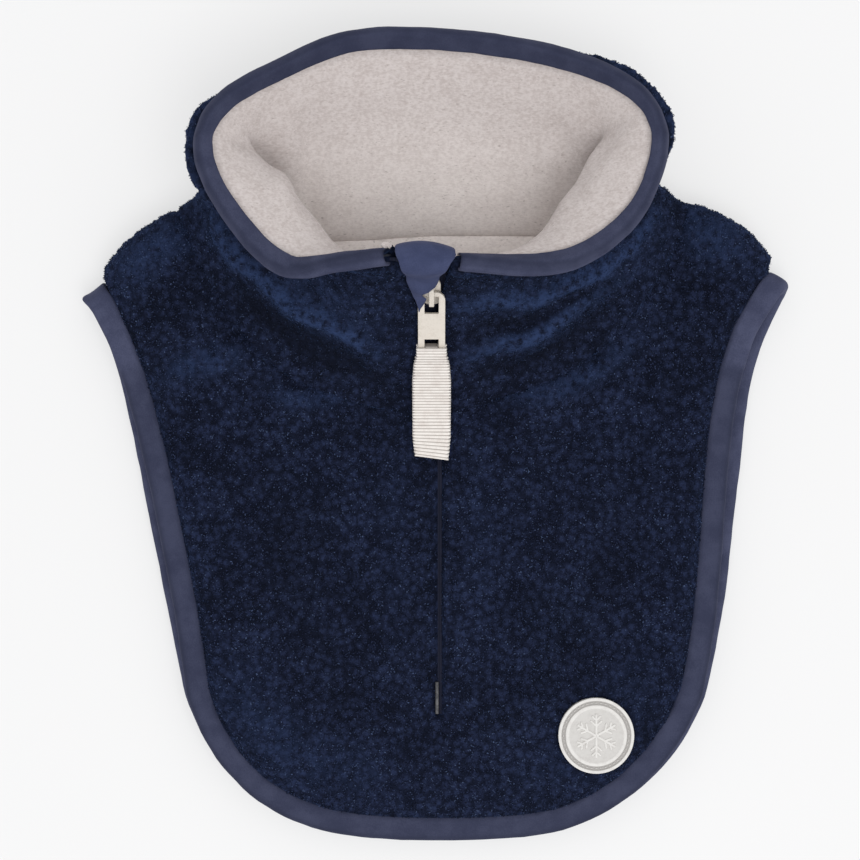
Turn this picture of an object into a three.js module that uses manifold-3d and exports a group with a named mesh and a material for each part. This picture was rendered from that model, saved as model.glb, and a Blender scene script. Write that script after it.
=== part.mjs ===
// A child's neck warmer in teddy fleece: a front and a back bib, a stand collar and a short front zip.
// It lies on its back. Millimetres, +X to the right, +Y from the hem to the collar, +Z up.
// The working origin is the middle of the front neckline, on the table. The group is moved at the end so
// that its origin is under the middle of the whole thing.
import * as THREE from "three";
import { mergeVertices } from "three/addons/utils/BufferGeometryUtils.js";
import Module from "manifold-3d";

const wasm = await Module();
wasm.setup();

// Cloth thicknesses and the clearance that neighbouring pieces keep
const fleeceThickness = 3.3;
const liningThickness = 1.6;
const pressedThickness = 0.9; // fleece or lining squeezed inside a binding
const clearance = 0.3;
const fuse = 0.02; // overlap that makes joined solids one

// Bibs
const bibHalfWidth = 104; // zip line to a shoulder tip
const bibDrop = 162; // shoulder tips to the hem
const shoulderRise = 32.5; // shoulder tips above the front neckline
const bibPanelThickness = 4; // fleece of the back bib
const frontBibThickness = 5.2; // fleece and its own lining
const bibCrown = 1.5; // how much the front bib swells in its middle
const neckSwell = 3.2; // how much the front bib is lifted where the collar stands on it
const ridgeRadius = 7; // roll of the fleece over the shoulders
const leftShoulderRoll = 4; // how far that roll bulges out of the straight line, from neck to tip
const rightShoulderRoll = 6.2;
const shoulderReach = 14; // how far into the bibs the bulge goes
const tongueThickness = 2; // bib edge squeezed inside its binding

// Neckline and collar
const neckHalfWidth = 69;
const neckDepth = 48.5; // front neckline to back neckline
const rimHalfWidth = 66;
const rimDepth = 66.5; // front of the rim to its back
const rimSetBack = 38; // front of the rim behind the front neckline
const rimFrontHeight = 54;
const rimBackHeight = 27;
const frontSeamHeight = 12;
const backSeamHeight = 3.7;
const collarHeight = 64; // cloth height of the collar, which its folds are shares of

// Bindings
const bindingWidth = 7.4;
const rimBindingWidth = 6.2;
const bindingWall = 1;

// Zip
const zipHalfWidth = 2.1; // half of the slit between the fleece edges
const zipDrop = 92; // front neckline to the lower end of the slit
const tapeThickness = 0.9;
const coilWidth = 3.2;
const coilThickness = 1.3;
const stopLength = 9.5;
const stopWidth = 1.1;

// Slider and pull
const sliderWidth = 7.2;
const sliderLength = 9.5;
const sliderPlate = 1;
const sliderCorner = 2.4;
const sliderHead = 0.45; // share of the slider above the middle of its bail
const bailWidth = 2;
const bailWire = 1;
const bailRoom = 2.6; // free height under the bail
const bailSpan = 5.6; // free length under the bail
const tabWidth = 7.7;
const tabLength = 20;
const tabThickness = 1.2;
const tabCorner = 2.6;
const tabWindowWidth = 4;
const upperWindowLength = 5.4;
const lowerWindowLength = 3.6;
const tabBar = 1.4; // metal at each end of the tab
const tabSide = -1.6; // the pull lies a little left of the zip line
const ribbonWidth = 10.4;
const ribbonThroat = 8.4; // width where the ribbon leaves the tab
const ribbonThickness = 0.9;
const ribbonPlan = 29.4; // length of the hanging ribbon, seen from above
const ribbonPlaces = [0.25, 0.42, 0.6, 0.8]; // shares of it where it bends to the fleece

// Badge
const badgeDiameter = 22;
const badgeThickness = 2.4;
const badgeRimWidth = 1.3;
const badgeRelief = 0.5;
const badgeSides = 24;
const badgeLift = 0.4; // height of its underside above the plain fleece
const badgeInnerRing = 0.69; // share of the radius
const badgeArm = 0.78; // share of the inner ring's radius
const badgeAcross = 46.3;
const badgeDrop = 97.7;

// Edge of the bibs, from the shoulder tips down. down is a share of bibDrop, the widths of bibHalfWidth.
const EDGE = [
  { down: 0.0, left: 1.0, right: 0.985, backLeft: 1.0, backRight: 1.0 },
  { down: 0.06, left: 0.958, right: 0.915, backLeft: 0.962, backRight: 0.95 },
  { down: 0.12, left: 0.912, right: 0.878, backLeft: 0.918, backRight: 0.912 },
  { down: 0.2, left: 0.873, right: 0.848, backLeft: 0.888, backRight: 0.884 },
  { down: 0.3, left: 0.832, right: 0.827, backLeft: 0.853, backRight: 0.868 },
  { down: 0.42, left: 0.793, right: 0.813, backLeft: 0.818, backRight: 0.845 },
  { down: 0.55, left: 0.753, right: 0.797, backLeft: 0.777, backRight: 0.823 },
  { down: 0.66, left: 0.724, right: 0.775, backLeft: 0.741, backRight: 0.791 },
  { down: 0.76, left: 0.7, right: 0.74, backLeft: 0.708, backRight: 0.755 },
  { down: 0.84, left: 0.638, right: 0.665, backLeft: 0.644, backRight: 0.683 },
  { down: 0.9, left: 0.562, right: 0.585, backLeft: 0.566, backRight: 0.6 },
  { down: 0.95, left: 0.455, right: 0.475, backLeft: 0.458, backRight: 0.49 },
  { down: 0.985, left: 0.31, right: 0.34, backLeft: 0.312, backRight: 0.355 },
];

// Collar, from the left side of the zip round the back to its right side. rimX and neckX are shares of the
// half widths, rimY and neckY of the depths, rimZ and seam run from 0 at the back height to 1 at the front
// height.
const COLLAR = [
  { rimX: -0.22, rimY: 0.012, rimZ: 0.97, neckX: -0.033, neckY: 0.0, seam: 1.0 },
  { rimX: -0.45, rimY: -0.024, rimZ: 0.97, neckX: -0.43, neckY: 0.09, seam: 1.0 },
  { rimX: -0.63, rimY: -0.05, rimZ: 0.89, neckX: -0.745, neckY: 0.39, seam: 0.95 },
  { rimX: -0.79, rimY: 0.07, rimZ: 0.76, neckX: -0.945, neckY: 0.84, seam: 0.8 },
  { rimX: -0.96, rimY: 0.31, rimZ: 0.61, neckX: -1.02, neckY: 1.08, seam: 0.55 },
  { rimX: -1.015, rimY: 0.53, rimZ: 0.46, neckX: -0.995, neckY: 1.19, seam: 0.35 },
  { rimX: -0.905, rimY: 0.715, rimZ: 0.36, neckX: -0.845, neckY: 1.09, seam: 0.12 },
  { rimX: -0.66, rimY: 0.86, rimZ: 0.21, neckX: -0.63, neckY: 0.99, seam: 0.0 },
  { rimX: -0.385, rimY: 0.985, rimZ: 0.07, neckX: -0.375, neckY: 0.965, seam: 0.0 },
  { rimX: -0.03, rimY: 1.0, rimZ: 0.0, neckX: 0.0, neckY: 1.0, seam: 0.0 },
  { rimX: 0.34, rimY: 0.955, rimZ: 0.07, neckX: 0.36, neckY: 1.0, seam: 0.0 },
  { rimX: 0.635, rimY: 0.87, rimZ: 0.21, neckX: 0.615, neckY: 1.005, seam: 0.0 },
  { rimX: 0.87, rimY: 0.735, rimZ: 0.36, neckX: 0.83, neckY: 1.09, seam: 0.12 },
  { rimX: 0.96, rimY: 0.54, rimZ: 0.5, neckX: 0.965, neckY: 1.22, seam: 0.35 },
  { rimX: 0.91, rimY: 0.32, rimZ: 0.64, neckX: 0.99, neckY: 1.085, seam: 0.55 },
  { rimX: 0.79, rimY: 0.13, rimZ: 0.79, neckX: 0.91, neckY: 0.84, seam: 0.8 },
  { rimX: 0.565, rimY: -0.02, rimZ: 0.93, neckX: 0.73, neckY: 0.47, seam: 0.95 },
  { rimX: 0.31, rimY: -0.035, rimZ: 1.0, neckX: 0.44, neckY: 0.17, seam: 1.0 },
  { rimX: 0.095, rimY: -0.012, rimZ: 1.0, neckX: 0.033, neckY: 0.0, seam: 1.0 },
];

// Folds of the collar wall at the same places, as shares of collarHeight: tuck is the inward fold of the
// wall, puff the roll under it and ripple its small creases. cover is the share of rimBindingWidth that the
// binding takes there.
const COLLAR_FOLDS = [
  { tuck: 0.17, puff: 0.0, ripple: 0.0, cover: 1 },
  { tuck: 0.23, puff: 0.03, ripple: 0.008, cover: 1 },
  { tuck: 0.34, puff: 0.05, ripple: 0.006, cover: 0.95 },
  { tuck: 0.375, puff: 0.04, ripple: 0.0, cover: 0.9 },
  { tuck: 0.365, puff: 0.02, ripple: 0.0, cover: 0.8 },
  { tuck: 0.27, puff: 0.05, ripple: 0.0, cover: 0.75 },
  { tuck: 0.09, puff: 0.04, ripple: 0.0, cover: 0.8 },
  { tuck: -0.03, puff: 0.0, ripple: 0.0, cover: 0.95 },
  { tuck: -0.01, puff: 0.0, ripple: 0.0, cover: 1 },
  { tuck: 0.0, puff: 0.0, ripple: 0.0, cover: 1 },
  { tuck: -0.01, puff: 0.0, ripple: 0.0, cover: 1 },
  { tuck: -0.02, puff: 0.0, ripple: 0.0, cover: 0.9 },
  { tuck: 0.15, puff: 0.04, ripple: 0.0, cover: 0.75 },
  { tuck: 0.31, puff: 0.05, ripple: 0.0, cover: 0.62 },
  { tuck: 0.385, puff: 0.03, ripple: 0.0, cover: 0.6 },
  { tuck: 0.37, puff: 0.03, ripple: 0.01, cover: 0.75 },
  { tuck: 0.3, puff: 0.03, ripple: 0.018, cover: 0.95 },
  { tuck: 0.21, puff: 0.02, ripple: 0.02, cover: 1 },
  { tuck: 0.17, puff: 0.0, ripple: 0.0, cover: 1 },
];
const tuckBias = 1.25; // moves the deepest point of the fold up the wall
const puffTop = 0.7; // share of the wall where the roll under the fold ends
const ripplePitch = 0.36; // share of the wall from crease to crease
const rippleStart = 0.22; // share of the wall at the first small ridge
const leftShoulder = 5 / 18; // places round the collar where it meets the shoulder folds
const rightShoulder = 13 / 18;
const frontTurn = 0.5 / 18; // the front bib ends this far before them
const neckAxis = { across: 0, up: 1.54 }; // centre that the folds point to, as shares of the neck sizes

// Soft folds of the front bib. Places are shares of bibHalfWidth across and of bibDrop below the front
// neckline, height and width are shares of fleeceThickness and bibHalfWidth.
const BIB_FOLDS = [
  { fromX: -0.72, fromY: -0.05, toX: -0.5, toY: -0.1, height: 0.45, width: 0.08 },
  { fromX: -0.3, fromY: 0.03, toX: -0.62, toY: -0.13, height: 0.45, width: 0.05 },
  { fromX: 0.16, fromY: 0.08, toX: 0.6, toY: -0.2, height: 0.4, width: 0.06 },
  { fromX: 0.66, fromY: -0.2, toX: 0.72, toY: -0.34, height: -0.75, width: 0.09 },
  { fromX: -0.1, fromY: 0.1, toX: -0.12, toY: 0.56, height: 0.25, width: 0.05 },
  { fromX: 0.1, fromY: 0.1, toX: 0.12, toY: 0.56, height: 0.25, width: 0.05 },
  { fromX: -0.5, fromY: 0.3, toX: -0.3, toY: 0.62, height: -0.25, width: 0.12 },
  { fromX: 0.55, fromY: 0.22, toX: 0.35, toY: 0.5, height: -0.25, width: 0.12 },
];

// Garage flap over the top of the zip, from its tip up the outside, over the rim and down the inside.
// wall is the place up the collar wall. over, lift and crown are shares of fleeceThickness: beyond the rim,
// out of the wall, and how far the middle stands above the sides. left and right are shares of rimHalfWidth.
const GARAGE = [
  { wall: 0.45, over: 0, lift: 1.33, left: -0.1, right: -0.09, crown: 0 },
  { wall: 0.52, over: 0, lift: 1.39, left: -0.113, right: -0.09, crown: 0.06 },
  { wall: 0.6, over: 0, lift: 1.48, left: -0.128, right: -0.078, crown: 0.24 },
  { wall: 0.67, over: 0, lift: 1.7, left: -0.14, right: -0.004, crown: 0.55 },
  { wall: 0.78, over: 0, lift: 1.33, left: -0.16, right: 0.035, crown: 0.45 },
  { wall: 0.9, over: 0, lift: 1.15, left: -0.176, right: 0.06, crown: 0.3 },
  { wall: 1, over: 0.3, lift: 0.97, left: -0.188, right: 0.074, crown: 0.18 },
  { wall: 1, over: 1.03, lift: 0.18, left: -0.18, right: 0.07, crown: 0.09 },
  { wall: 1, over: 0.3, lift: -0.85, left: -0.16, right: 0.055, crown: 0 },
  { wall: 0.88, over: 0, lift: -1.09, left: -0.14, right: 0.045, crown: 0 },
];
const garageThickness = 1.3;

const finish = (color, roughness, metalness = 0) =>
  new THREE.MeshStandardMaterial({ color, roughness, metalness });
const FINISHES = {
  teddy: finish(0x1c2440, 0.95),
  lining: finish(0xc2b9b5, 0.95),
  jersey: finish(0x414463, 0.8),
  tape: finish(0x23263a, 0.75),
  coil: finish(0x1d2030, 0.5),
  steel: finish(0xb8b8b6, 0.35, 1),
  cream: finish(0xe2dacf, 0.4, 0.3),
  ribbon: finish(0xece7e2, 0.85),
  silicone: finish(0xd9d6d3, 0.6),
};

const { lerp, clamp } = THREE.MathUtils;
const vec = (x, y, z) => new THREE.Vector3(x, y, z);

// A closed triangle mesh from points and faces, turned so that its faces point out.
function closedMesh(points, faces) {
  const volume = faces.reduce((sum, [a, b, c]) => {
    const cross = new THREE.Vector3().crossVectors(points[b], points[c]);
    return sum + points[a].dot(cross);
  }, 0);
  const turned = volume < 0 ? faces.map(([a, b, c]) => [a, c, b]) : faces;
  const geometry = new THREE.BufferGeometry().setFromPoints(points);
  geometry.setIndex(turned.flat());
  return geometry;
}

// A sheet of cloth: two surfaces over the same grid, joined all round their edge.
function sheet(outer, inner, us, vs) {
  const points = [];
  const faces = [];
  const rows = us.length;
  const columns = vs.length;
  for (const surface of [outer, inner]) {
    for (const u of us) {
      for (const v of vs) points.push(surface(u, v));
    }
  }
  const at = (side, i, j) => side * rows * columns + i * columns + j;
  const quad = (a, b, c, d) => faces.push([a, b, c], [a, c, d]);
  for (let i = 0; i + 1 < rows; i++) {
    for (let j = 0; j + 1 < columns; j++) {
      quad(at(0, i, j), at(0, i + 1, j), at(0, i + 1, j + 1), at(0, i, j + 1));
      quad(at(1, i, j), at(1, i, j + 1), at(1, i + 1, j + 1), at(1, i + 1, j));
    }
    quad(at(0, i + 1, 0), at(0, i, 0), at(1, i, 0), at(1, i + 1, 0));
    const last = columns - 1;
    quad(at(0, i, last), at(0, i + 1, last), at(1, i + 1, last), at(1, i, last));
  }
  for (let j = 0; j + 1 < columns; j++) {
    quad(at(0, 0, j), at(0, 0, j + 1), at(1, 0, j + 1), at(1, 0, j));
    const end = rows - 1;
    quad(at(0, end, j + 1), at(0, end, j), at(1, end, j), at(1, end, j + 1));
  }
  return closedMesh(points, faces);
}

// A closed section, given by its points at each station, joined from station to station.
function loft(stations, isLoop) {
  const sides = stations[0].length;
  const count = stations.length;
  const faces = [];
  for (let i = 0; i < (isLoop ? count : count - 1); i++) {
    const next = (i + 1) % count;
    for (let k = 0; k < sides; k++) {
      const l = (k + 1) % sides;
      const corners = [i * sides + k, next * sides + k, next * sides + l, i * sides + l];
      faces.push([corners[0], corners[1], corners[2]], [corners[0], corners[2], corners[3]]);
    }
  }
  return { points: stations.flat(), faces };
}

// Caps for an open loft, triangulated on the section's own flat outline.
function capped({ points, faces }, outline) {
  const flat = outline.map(([a, b]) => new THREE.Vector2(a, b));
  const turn = Math.sign(THREE.ShapeUtils.area(flat));
  const lastRow = points.length - flat.length;
  for (const [a, b, c] of THREE.ShapeUtils.triangulateShape(flat, [])) {
    const corner = [flat[a], flat[b], flat[c]];
    const [k, l, m] = Math.sign(THREE.ShapeUtils.area(corner)) === turn ? [a, b, c] : [a, c, b];
    faces.push([k, l, m], [lastRow + k, lastRow + m, lastRow + l]);
  }
  return closedMesh(points, faces);
}

// Joins and cuts
function toSolid(geometry) {
  const bare = new THREE.BufferGeometry().setAttribute("position", geometry.getAttribute("position"));
  bare.setIndex(geometry.getIndex());
  const merged = mergeVertices(bare, 1e-4);
  return new wasm.Manifold(
    new wasm.Mesh({
      numProp: 3,
      vertProperties: merged.attributes.position.array,
      triVerts: new Uint32Array(merged.index.array),
    }),
  );
}

function toGeometry(solid) {
  const mesh = solid.getMesh();
  const geometry = new THREE.BufferGeometry();
  geometry.setAttribute("position", new THREE.BufferAttribute(mesh.vertProperties, 3));
  geometry.setIndex(new THREE.BufferAttribute(mesh.triVerts, 1));
  return geometry;
}

const joined = (...geometries) =>
  toGeometry(geometries.map(toSolid).reduce((all, one) => all.add(one)));
const cutBy = (geometry, ...cutters) =>
  toGeometry(cutters.map(toSolid).reduce((left, one) => left.subtract(one), toSolid(geometry)));

// A value of a table's column at a place from 0 to 1 along its rows, on a smooth curve through them.
function along(table, column, place) {
  const spot = clamp(place, 0, 1) * (table.length - 1);
  const i = Math.min(Math.floor(spot), table.length - 2);
  const t = spot - i;
  const value = (k) => table[clamp(k, 0, table.length - 1)][column];
  const [p0, p1, p2, p3] = [value(i - 1), value(i), value(i + 1), value(i + 2)];
  const slopeIn = (p2 - p0) / 2;
  const slopeOut = (p3 - p1) / 2;
  const cubic = 2 * p1 - 2 * p2 + slopeIn + slopeOut;
  const square = -3 * p1 + 3 * p2 - 2 * slopeIn - slopeOut;
  return ((cubic * t + square) * t + slopeIn) * t + p1;
}

const evenly = (count, from = 0, to = 1) =>
  Array.from({ length: count + 1 }, (_, i) => lerp(from, to, i / count));

// Collar wall
const neckCentre = vec(neckAxis.across * neckHalfWidth, neckAxis.up * neckDepth, 0);

function neckPoint(u) {
  return vec(
    along(COLLAR, "neckX", u) * neckHalfWidth,
    along(COLLAR, "neckY", u) * neckDepth,
    lerp(backSeamHeight, frontSeamHeight, along(COLLAR, "seam", u)),
  );
}

function rimPoint(u) {
  return vec(
    along(COLLAR, "rimX", u) * rimHalfWidth,
    rimSetBack + along(COLLAR, "rimY", u) * rimDepth,
    lerp(rimBackHeight, rimFrontHeight, along(COLLAR, "rimZ", u)),
  );
}

// The middle surface of the wall, from the neckline (v = 0) to the rim (v = 1).
function wallPoint(u, v) {
  const neck = neckPoint(u);
  const rim = rimPoint(u);
  const middle = neck.clone().lerp(rim, 0.5);
  const inward = neckCentre.clone().sub(middle).setZ(0).normalize();
  const fold = along(COLLAR_FOLDS, "tuck", u) * Math.sin(Math.PI * v ** tuckBias);
  const roll = along(COLLAR_FOLDS, "puff", u) * Math.sin(Math.PI * clamp(v / puffTop, 0, 1)) ** 2;
  const wave = Math.cos((2 * Math.PI * (v - rippleStart)) / ripplePitch);
  const crease = along(COLLAR_FOLDS, "ripple", u) * wave * Math.sin(Math.PI * Math.sqrt(v)) ** 2;
  const inset = fold - roll - crease;
  return neck.lerp(rim, v).addScaledVector(inward, inset * collarHeight);
}

const probe = 1e-3;
function wallFrame(u, v) {
  const before = Math.max(u - probe, 0);
  const after = Math.min(u + probe, 1);
  const below = Math.max(v - probe, 0);
  const above = Math.min(v + probe, 1);
  const around = wallPoint(after, v).sub(wallPoint(before, v)).normalize();
  const up = wallPoint(u, above).sub(wallPoint(u, below)).normalize();
  const out = around.clone().cross(up).normalize().negate();
  if (out.dot(vec(0, 0, 1).cross(around)) < 0) out.negate();
  return { origin: wallPoint(u, v), around, up, out };
}

function wallOffset(u, v, offset) {
  const { origin, out } = wallFrame(u, v);
  return origin.addScaledVector(out, offset);
}

// The place up the wall where the rim binding starts to cover it.
function bindingLine(u) {
  const width = rimBindingWidth * along(COLLAR_FOLDS, "cover", u);
  const steps = evenly(40, 1, 0.5);
  let run = 0;
  for (let i = 1; i < steps.length; i++) {
    const step = wallPoint(u, steps[i]).distanceTo(wallPoint(u, steps[i - 1]));
    if (run + step > width) return lerp(steps[i - 1], steps[i], (width - run) / step);
    run += step;
  }
  return steps.at(-1);
}

// Rows of the wall's grid. Above the row coveredFrom the cloth is squeezed inside the binding.
const coveredFrom = 0.88;
const squeezeStep = 0.012;
const rimReach = rimBindingWidth - 3 * clearance - bindingWall; // length of the rim binding's legs
const rowAt = (distance) => 1 - ((1 - coveredFrom) * distance) / rimBindingWidth;
const collarRows = [...evenly(8, 0, 0.82), coveredFrom, coveredFrom + squeezeStep, rowAt(rimReach / 2), 1];
const collarColumns = evenly(36);
const half = clearance / 2;

function wallPlace(u, row) {
  const line = bindingLine(u);
  if (row <= coveredFrom) return (row / coveredFrom) * line;
  return lerp(line, 1, (row - coveredFrom) / (1 - coveredFrom));
}

// A surface of the wall at an offset out of its middle: near where the cloth starts, far its full thickness.
function wallSurface(side, full) {
  return (u, row) => {
    const thickness = row > coveredFrom ? pressedThickness : full;
    return wallOffset(u, wallPlace(u, row), side * (half + thickness));
  };
}

// One cloth of the wall, on the outer side (1) or the inner side (-1) of its middle.
function collarCloth(side, thickness) {
  const seam = (u, row) => wallOffset(u, wallPlace(u, row), side * half);
  return sheet(wallSurface(side, thickness), seam, collarColumns, collarRows);
}

// The room that the foot of the collar wall needs in the bibs, with a gap round it.
function collarRoom(gap) {
  const foot = [-gap, ...collarRows.slice(0, 5)];
  const surface = (offset) => (u, row) => {
    const point = wallOffset(u, wallPlace(u, Math.max(row, 0)), offset);
    return row < 0 ? point.addScaledVector(wallFrame(u, 0).up, row) : point;
  };
  const outer = surface(half + fleeceThickness + gap);
  return sheet(outer, surface(-half - liningThickness - gap), collarColumns, foot);
}

// A folded binding: its two legs hold the cloth edge, which ends at across = 0.
function bindingSection(clothThickness, reach) {
  const gap = clothThickness / 2 + clearance;
  const side = gap + bindingWall;
  const shoulder = -clearance;
  const nose = shoulder - bindingWall;
  return [
    [reach, side],
    [reach / 2, side],
    [0, side],
    [nose, side / 2],
    [nose, -side / 2],
    [0, -side],
    [reach / 2, -side],
    [reach, -side],
    [reach, -gap],
    [reach / 2, -gap],
    [shoulder, -gap],
    [shoulder, gap],
    [reach / 2, gap],
    [reach, gap],
  ];
}

function rimBinding() {
  const clothThickness = 2 * pressedThickness + 2 * clearance; // two cloths, and room for the rim's bends
  const section = bindingSection(clothThickness, rimReach);
  const place = (u, [distance, offset]) => {
    if (distance >= 0) return wallOffset(u, wallPlace(u, rowAt(distance)), offset);
    return wallOffset(u, 1, offset).addScaledVector(wallFrame(u, 1).up, -distance);
  };
  const stations = collarColumns.map((u) => section.map((spot) => place(u, spot)));
  return capped(loft(stations, false), section);
}

// Bib outlines
function edgeCurve(leftColumn, rightColumn) {
  const spot = (row, share) => vec(share * bibHalfWidth, shoulderRise - row.down * bibDrop, 0);
  const leftSide = EDGE.map((row) => spot(row, -row[leftColumn]));
  const rightSide = EDGE.map((row) => spot(row, row[rightColumn])).reverse();
  const hem = vec(0, shoulderRise - bibDrop, 0);
  return new THREE.CatmullRomCurve3([...leftSide, hem, ...rightSide], false, "centripetal");
}
const frontEdge = edgeCurve("left", "right");
const backEdge = edgeCurve("backLeft", "backRight");

// A point of an outline and the level direction from it into the bib.
function edgeFrame(curve, s) {
  const tangent = curve.getTangentAt(clamp(s, 0, 1)).setZ(0).normalize();
  return { point: curve.getPointAt(clamp(s, 0, 1)), tangent, inward: vec(-tangent.y, tangent.x, 0) };
}

function edgeInset(curve, s, inset) {
  const { point, inward } = edgeFrame(curve, s);
  return point.addScaledVector(inward, inset);
}

// The neckline seen from above, moved away from the neck by a gap.
function neckOutline(u, gap) {
  const before = neckPoint(Math.max(u - probe, 0));
  const after = neckPoint(Math.min(u + probe, 1));
  const tangent = after.sub(before).setZ(0).normalize();
  return neckPoint(u).setZ(0).addScaledVector(vec(-tangent.y, tangent.x, 0), gap);
}

// s runs from the left shoulder to the right one. The front passes the zip, the back the nape.
const frontNeckGap = half + fleeceThickness + clearance;
const backNeckGap = 2 * clearance + liningThickness / 2;
function frontNeck(s) {
  const leftPlace = lerp(leftShoulder - frontTurn, 0, 2 * s);
  const rightPlace = lerp(1, rightShoulder + frontTurn, 2 * s - 1);
  const u = s < 0.5 ? leftPlace : rightPlace;
  const point = neckOutline(u, frontNeckGap);
  const nearZip = clamp(Math.abs(point.x) / (4 * zipHalfWidth), 0, 1);
  if (nearZip < 1) point.y = lerp(-frontNeckGap, point.y, nearZip);
  return point;
}
const backNeck = (s) => neckOutline(lerp(leftShoulder, rightShoulder, s), backNeckGap);

// How far a point lies from the straight line between two others, seen from above.
function distanceToLine(point, from, to) {
  const line = new THREE.Line3(from.clone().setZ(0), to.clone().setZ(0));
  const nearest = line.closestPointToPoint(point.clone().setZ(0), true, vec(0, 0, 0));
  return nearest.distanceTo(point.clone().setZ(0));
}

const roundOver = (distance, radius) => Math.sqrt(1 - (1 - clamp(distance / radius, 0, 1)) ** 2);

// A bib as a strip from the neckline (t = 0) to the cloth edge (t = 1), which bulges out at the shoulders.
// The bulge goes square to the shoulder line near the neck and along the bound edge near the tip.
const rollStart = 0.04; // share of a half wave at the neck end of the shoulder line
const rollEnd = 0.72; // and at its tip
function bibPlan(neck, curve, inset) {
  const flat = (s, t) => neck(s).lerp(edgeInset(curve, s, inset), t);
  const shoulders = [
    { place: 0, roll: leftShoulderRoll, turn: -1 },
    { place: 1, roll: rightShoulderRoll, turn: 1 },
  ].map(({ place, roll, turn }) => {
    const from = flat(place, 0);
    const to = flat(place, 1);
    const way = to.clone().sub(from).setZ(0).normalize().multiplyScalar(turn);
    const along = edgeFrame(curve, place).tangent.multiplyScalar(turn);
    return { from, to, roll, square: vec(-way.y, way.x, 0), along };
  });
  const toShoulder = (s, t, { from, to }) => distanceToLine(flat(s, t), from, to);
  const toRidge = (s, t) => Math.min(...shoulders.map((one) => toShoulder(s, t, one)));
  const plan = (s, t) => {
    const nearest = shoulders[Math.round(s)];
    const way = nearest.square.clone().lerp(nearest.along, t).normalize();
    const height = nearest.roll * Math.sin(Math.PI * lerp(rollStart, rollEnd, t));
    const fade = Math.exp(-((toShoulder(s, t, nearest) / shoulderReach) ** 2));
    return flat(s, t).addScaledVector(way, height * fade);
  };
  return { plan, toRidge };
}

const backTop = bibPanelThickness;
const liningTop = backTop + clearance + liningThickness - half;
const frontBottom = liningTop + 2 * clearance;
const foldLevel = lerp(backTop, frontBottom, 0.5); // height of the seam along the shoulder roll
const panelInset = bindingWidth + 2 * clearance;
const tongueInset = bindingWall + 2 * clearance;
const tipMargin = 0.01; // share of the edge between a shoulder tip and the first station
const edgePlaces = evenly(36, tipMargin, 1 - tipMargin); // along the bound edge
const shoulderMargin = 0.06; // share of the edge where the inner layers end below a shoulder tip
const backBindingLevel = tongueThickness / 2 + clearance + bindingWall;
const frontBindingLevel = 3 * backBindingLevel + clearance;
const shoulderColumns = [0, 0.004, 0.011, 0.022, 0.04, 0.065];
const mirrored = (columns) => columns.map((s) => 1 - s).reverse();

function foldHeight(point) {
  return BIB_FOLDS.reduce((sum, fold) => {
    const from = vec(fold.fromX * bibHalfWidth, -fold.fromY * bibDrop, 0);
    const to = vec(fold.toX * bibHalfWidth, -fold.toY * bibDrop, 0);
    const away = distanceToLine(point, from, to) / (fold.width * bibHalfWidth);
    return sum + fold.height * fleeceThickness * Math.exp(-away * away);
  }, 0);
}

// The top of the front bib over a place on its plan.
function frontBibTop(point, toNeck, toEdge, toRidge) {
  const level = frontBottom + frontBibThickness;
  const swell = neckSwell * Math.exp(-toNeck / (3 * fleeceThickness));
  const crown = bibCrown * Math.sin(Math.PI * clamp(toEdge / (toNeck + toEdge + 1), 0, 1));
  const edgeFall = fleeceThickness * 0.5 * (1 - roundOver(toEdge, 2 * fleeceThickness));
  const full = level + swell + crown + foldHeight(point) - edgeFall;
  return lerp(foldLevel + clearance, full, roundOver(toRidge, ridgeRadius));
}

function frontBib() {
  const { plan, toRidge } = bibPlan(frontNeck, frontEdge, panelInset);
  const top = (s, t) => {
    const point = plan(s, t);
    const whole = plan(s, 0).distanceTo(plan(s, 1));
    return point.setZ(frontBibTop(point, t * whole, (1 - t) * whole, toRidge(s, t)));
  };
  const bottom = (s, t) =>
    plan(s, t).setZ(lerp(foldLevel + half, frontBottom, roundOver(toRidge(s, t), ridgeRadius)));
  const columns = [...shoulderColumns, ...evenly(24, 0.1, 0.9), ...mirrored(shoulderColumns)];
  const rows = [0, 0.04, 0.1, 0.18, 0.28, 0.4, 0.54, 0.68, 0.82, 0.92, 0.97, 1];
  const zipSlit = sheet(
    (u, v) => vec(lerp(-zipHalfWidth, zipHalfWidth, u), lerp(2 * frontNeckGap, -zipDrop, v), 0),
    (u, v) => vec(lerp(-zipHalfWidth, zipHalfWidth, u), lerp(2 * frontNeckGap, -zipDrop, v), rimFrontHeight),
    [0, 1],
    [0, 1],
  );
  const tongue = bibTongue(frontEdge, frontBindingLevel);
  const body = joined(sheet(top, bottom, columns, rows), tongue);
  return cutBy(body, zipSlit, collarRoom(clearance), badgePocket());
}

// The squeezed edge of a bib, which its binding holds.
function bibTongue(curve, level) {
  const surface = (lift) => (s, inset) => edgeInset(curve, s, inset).setZ(level + lift);
  const spread = edgePlaces.slice(2, -2);
  const insets = [panelInset + tongueThickness, tongueInset];
  return sheet(surface(tongueThickness / 2), surface(-tongueThickness / 2), spread, insets);
}

function backBib() {
  const { plan, toRidge } = bibPlan(backNeck, backEdge, panelInset);
  const rounded = (seam, level) => (s, t) =>
    plan(s, t).setZ(lerp(seam, level, roundOver(toRidge(s, t), ridgeRadius)));
  const top = rounded(foldLevel - half, backTop);
  const bottom = rounded(foldLevel - clearance, 0);
  const columns = [...shoulderColumns, ...evenly(20, 0.1, 0.9), ...mirrored(shoulderColumns)];
  const rows = [0, 0.1, 0.35, 0.65, 0.9, 1];
  const tongue = bibTongue(backEdge, backBindingLevel);
  return cutBy(joined(sheet(top, bottom, columns, rows), tongue), collarRoom(clearance));
}

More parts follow.
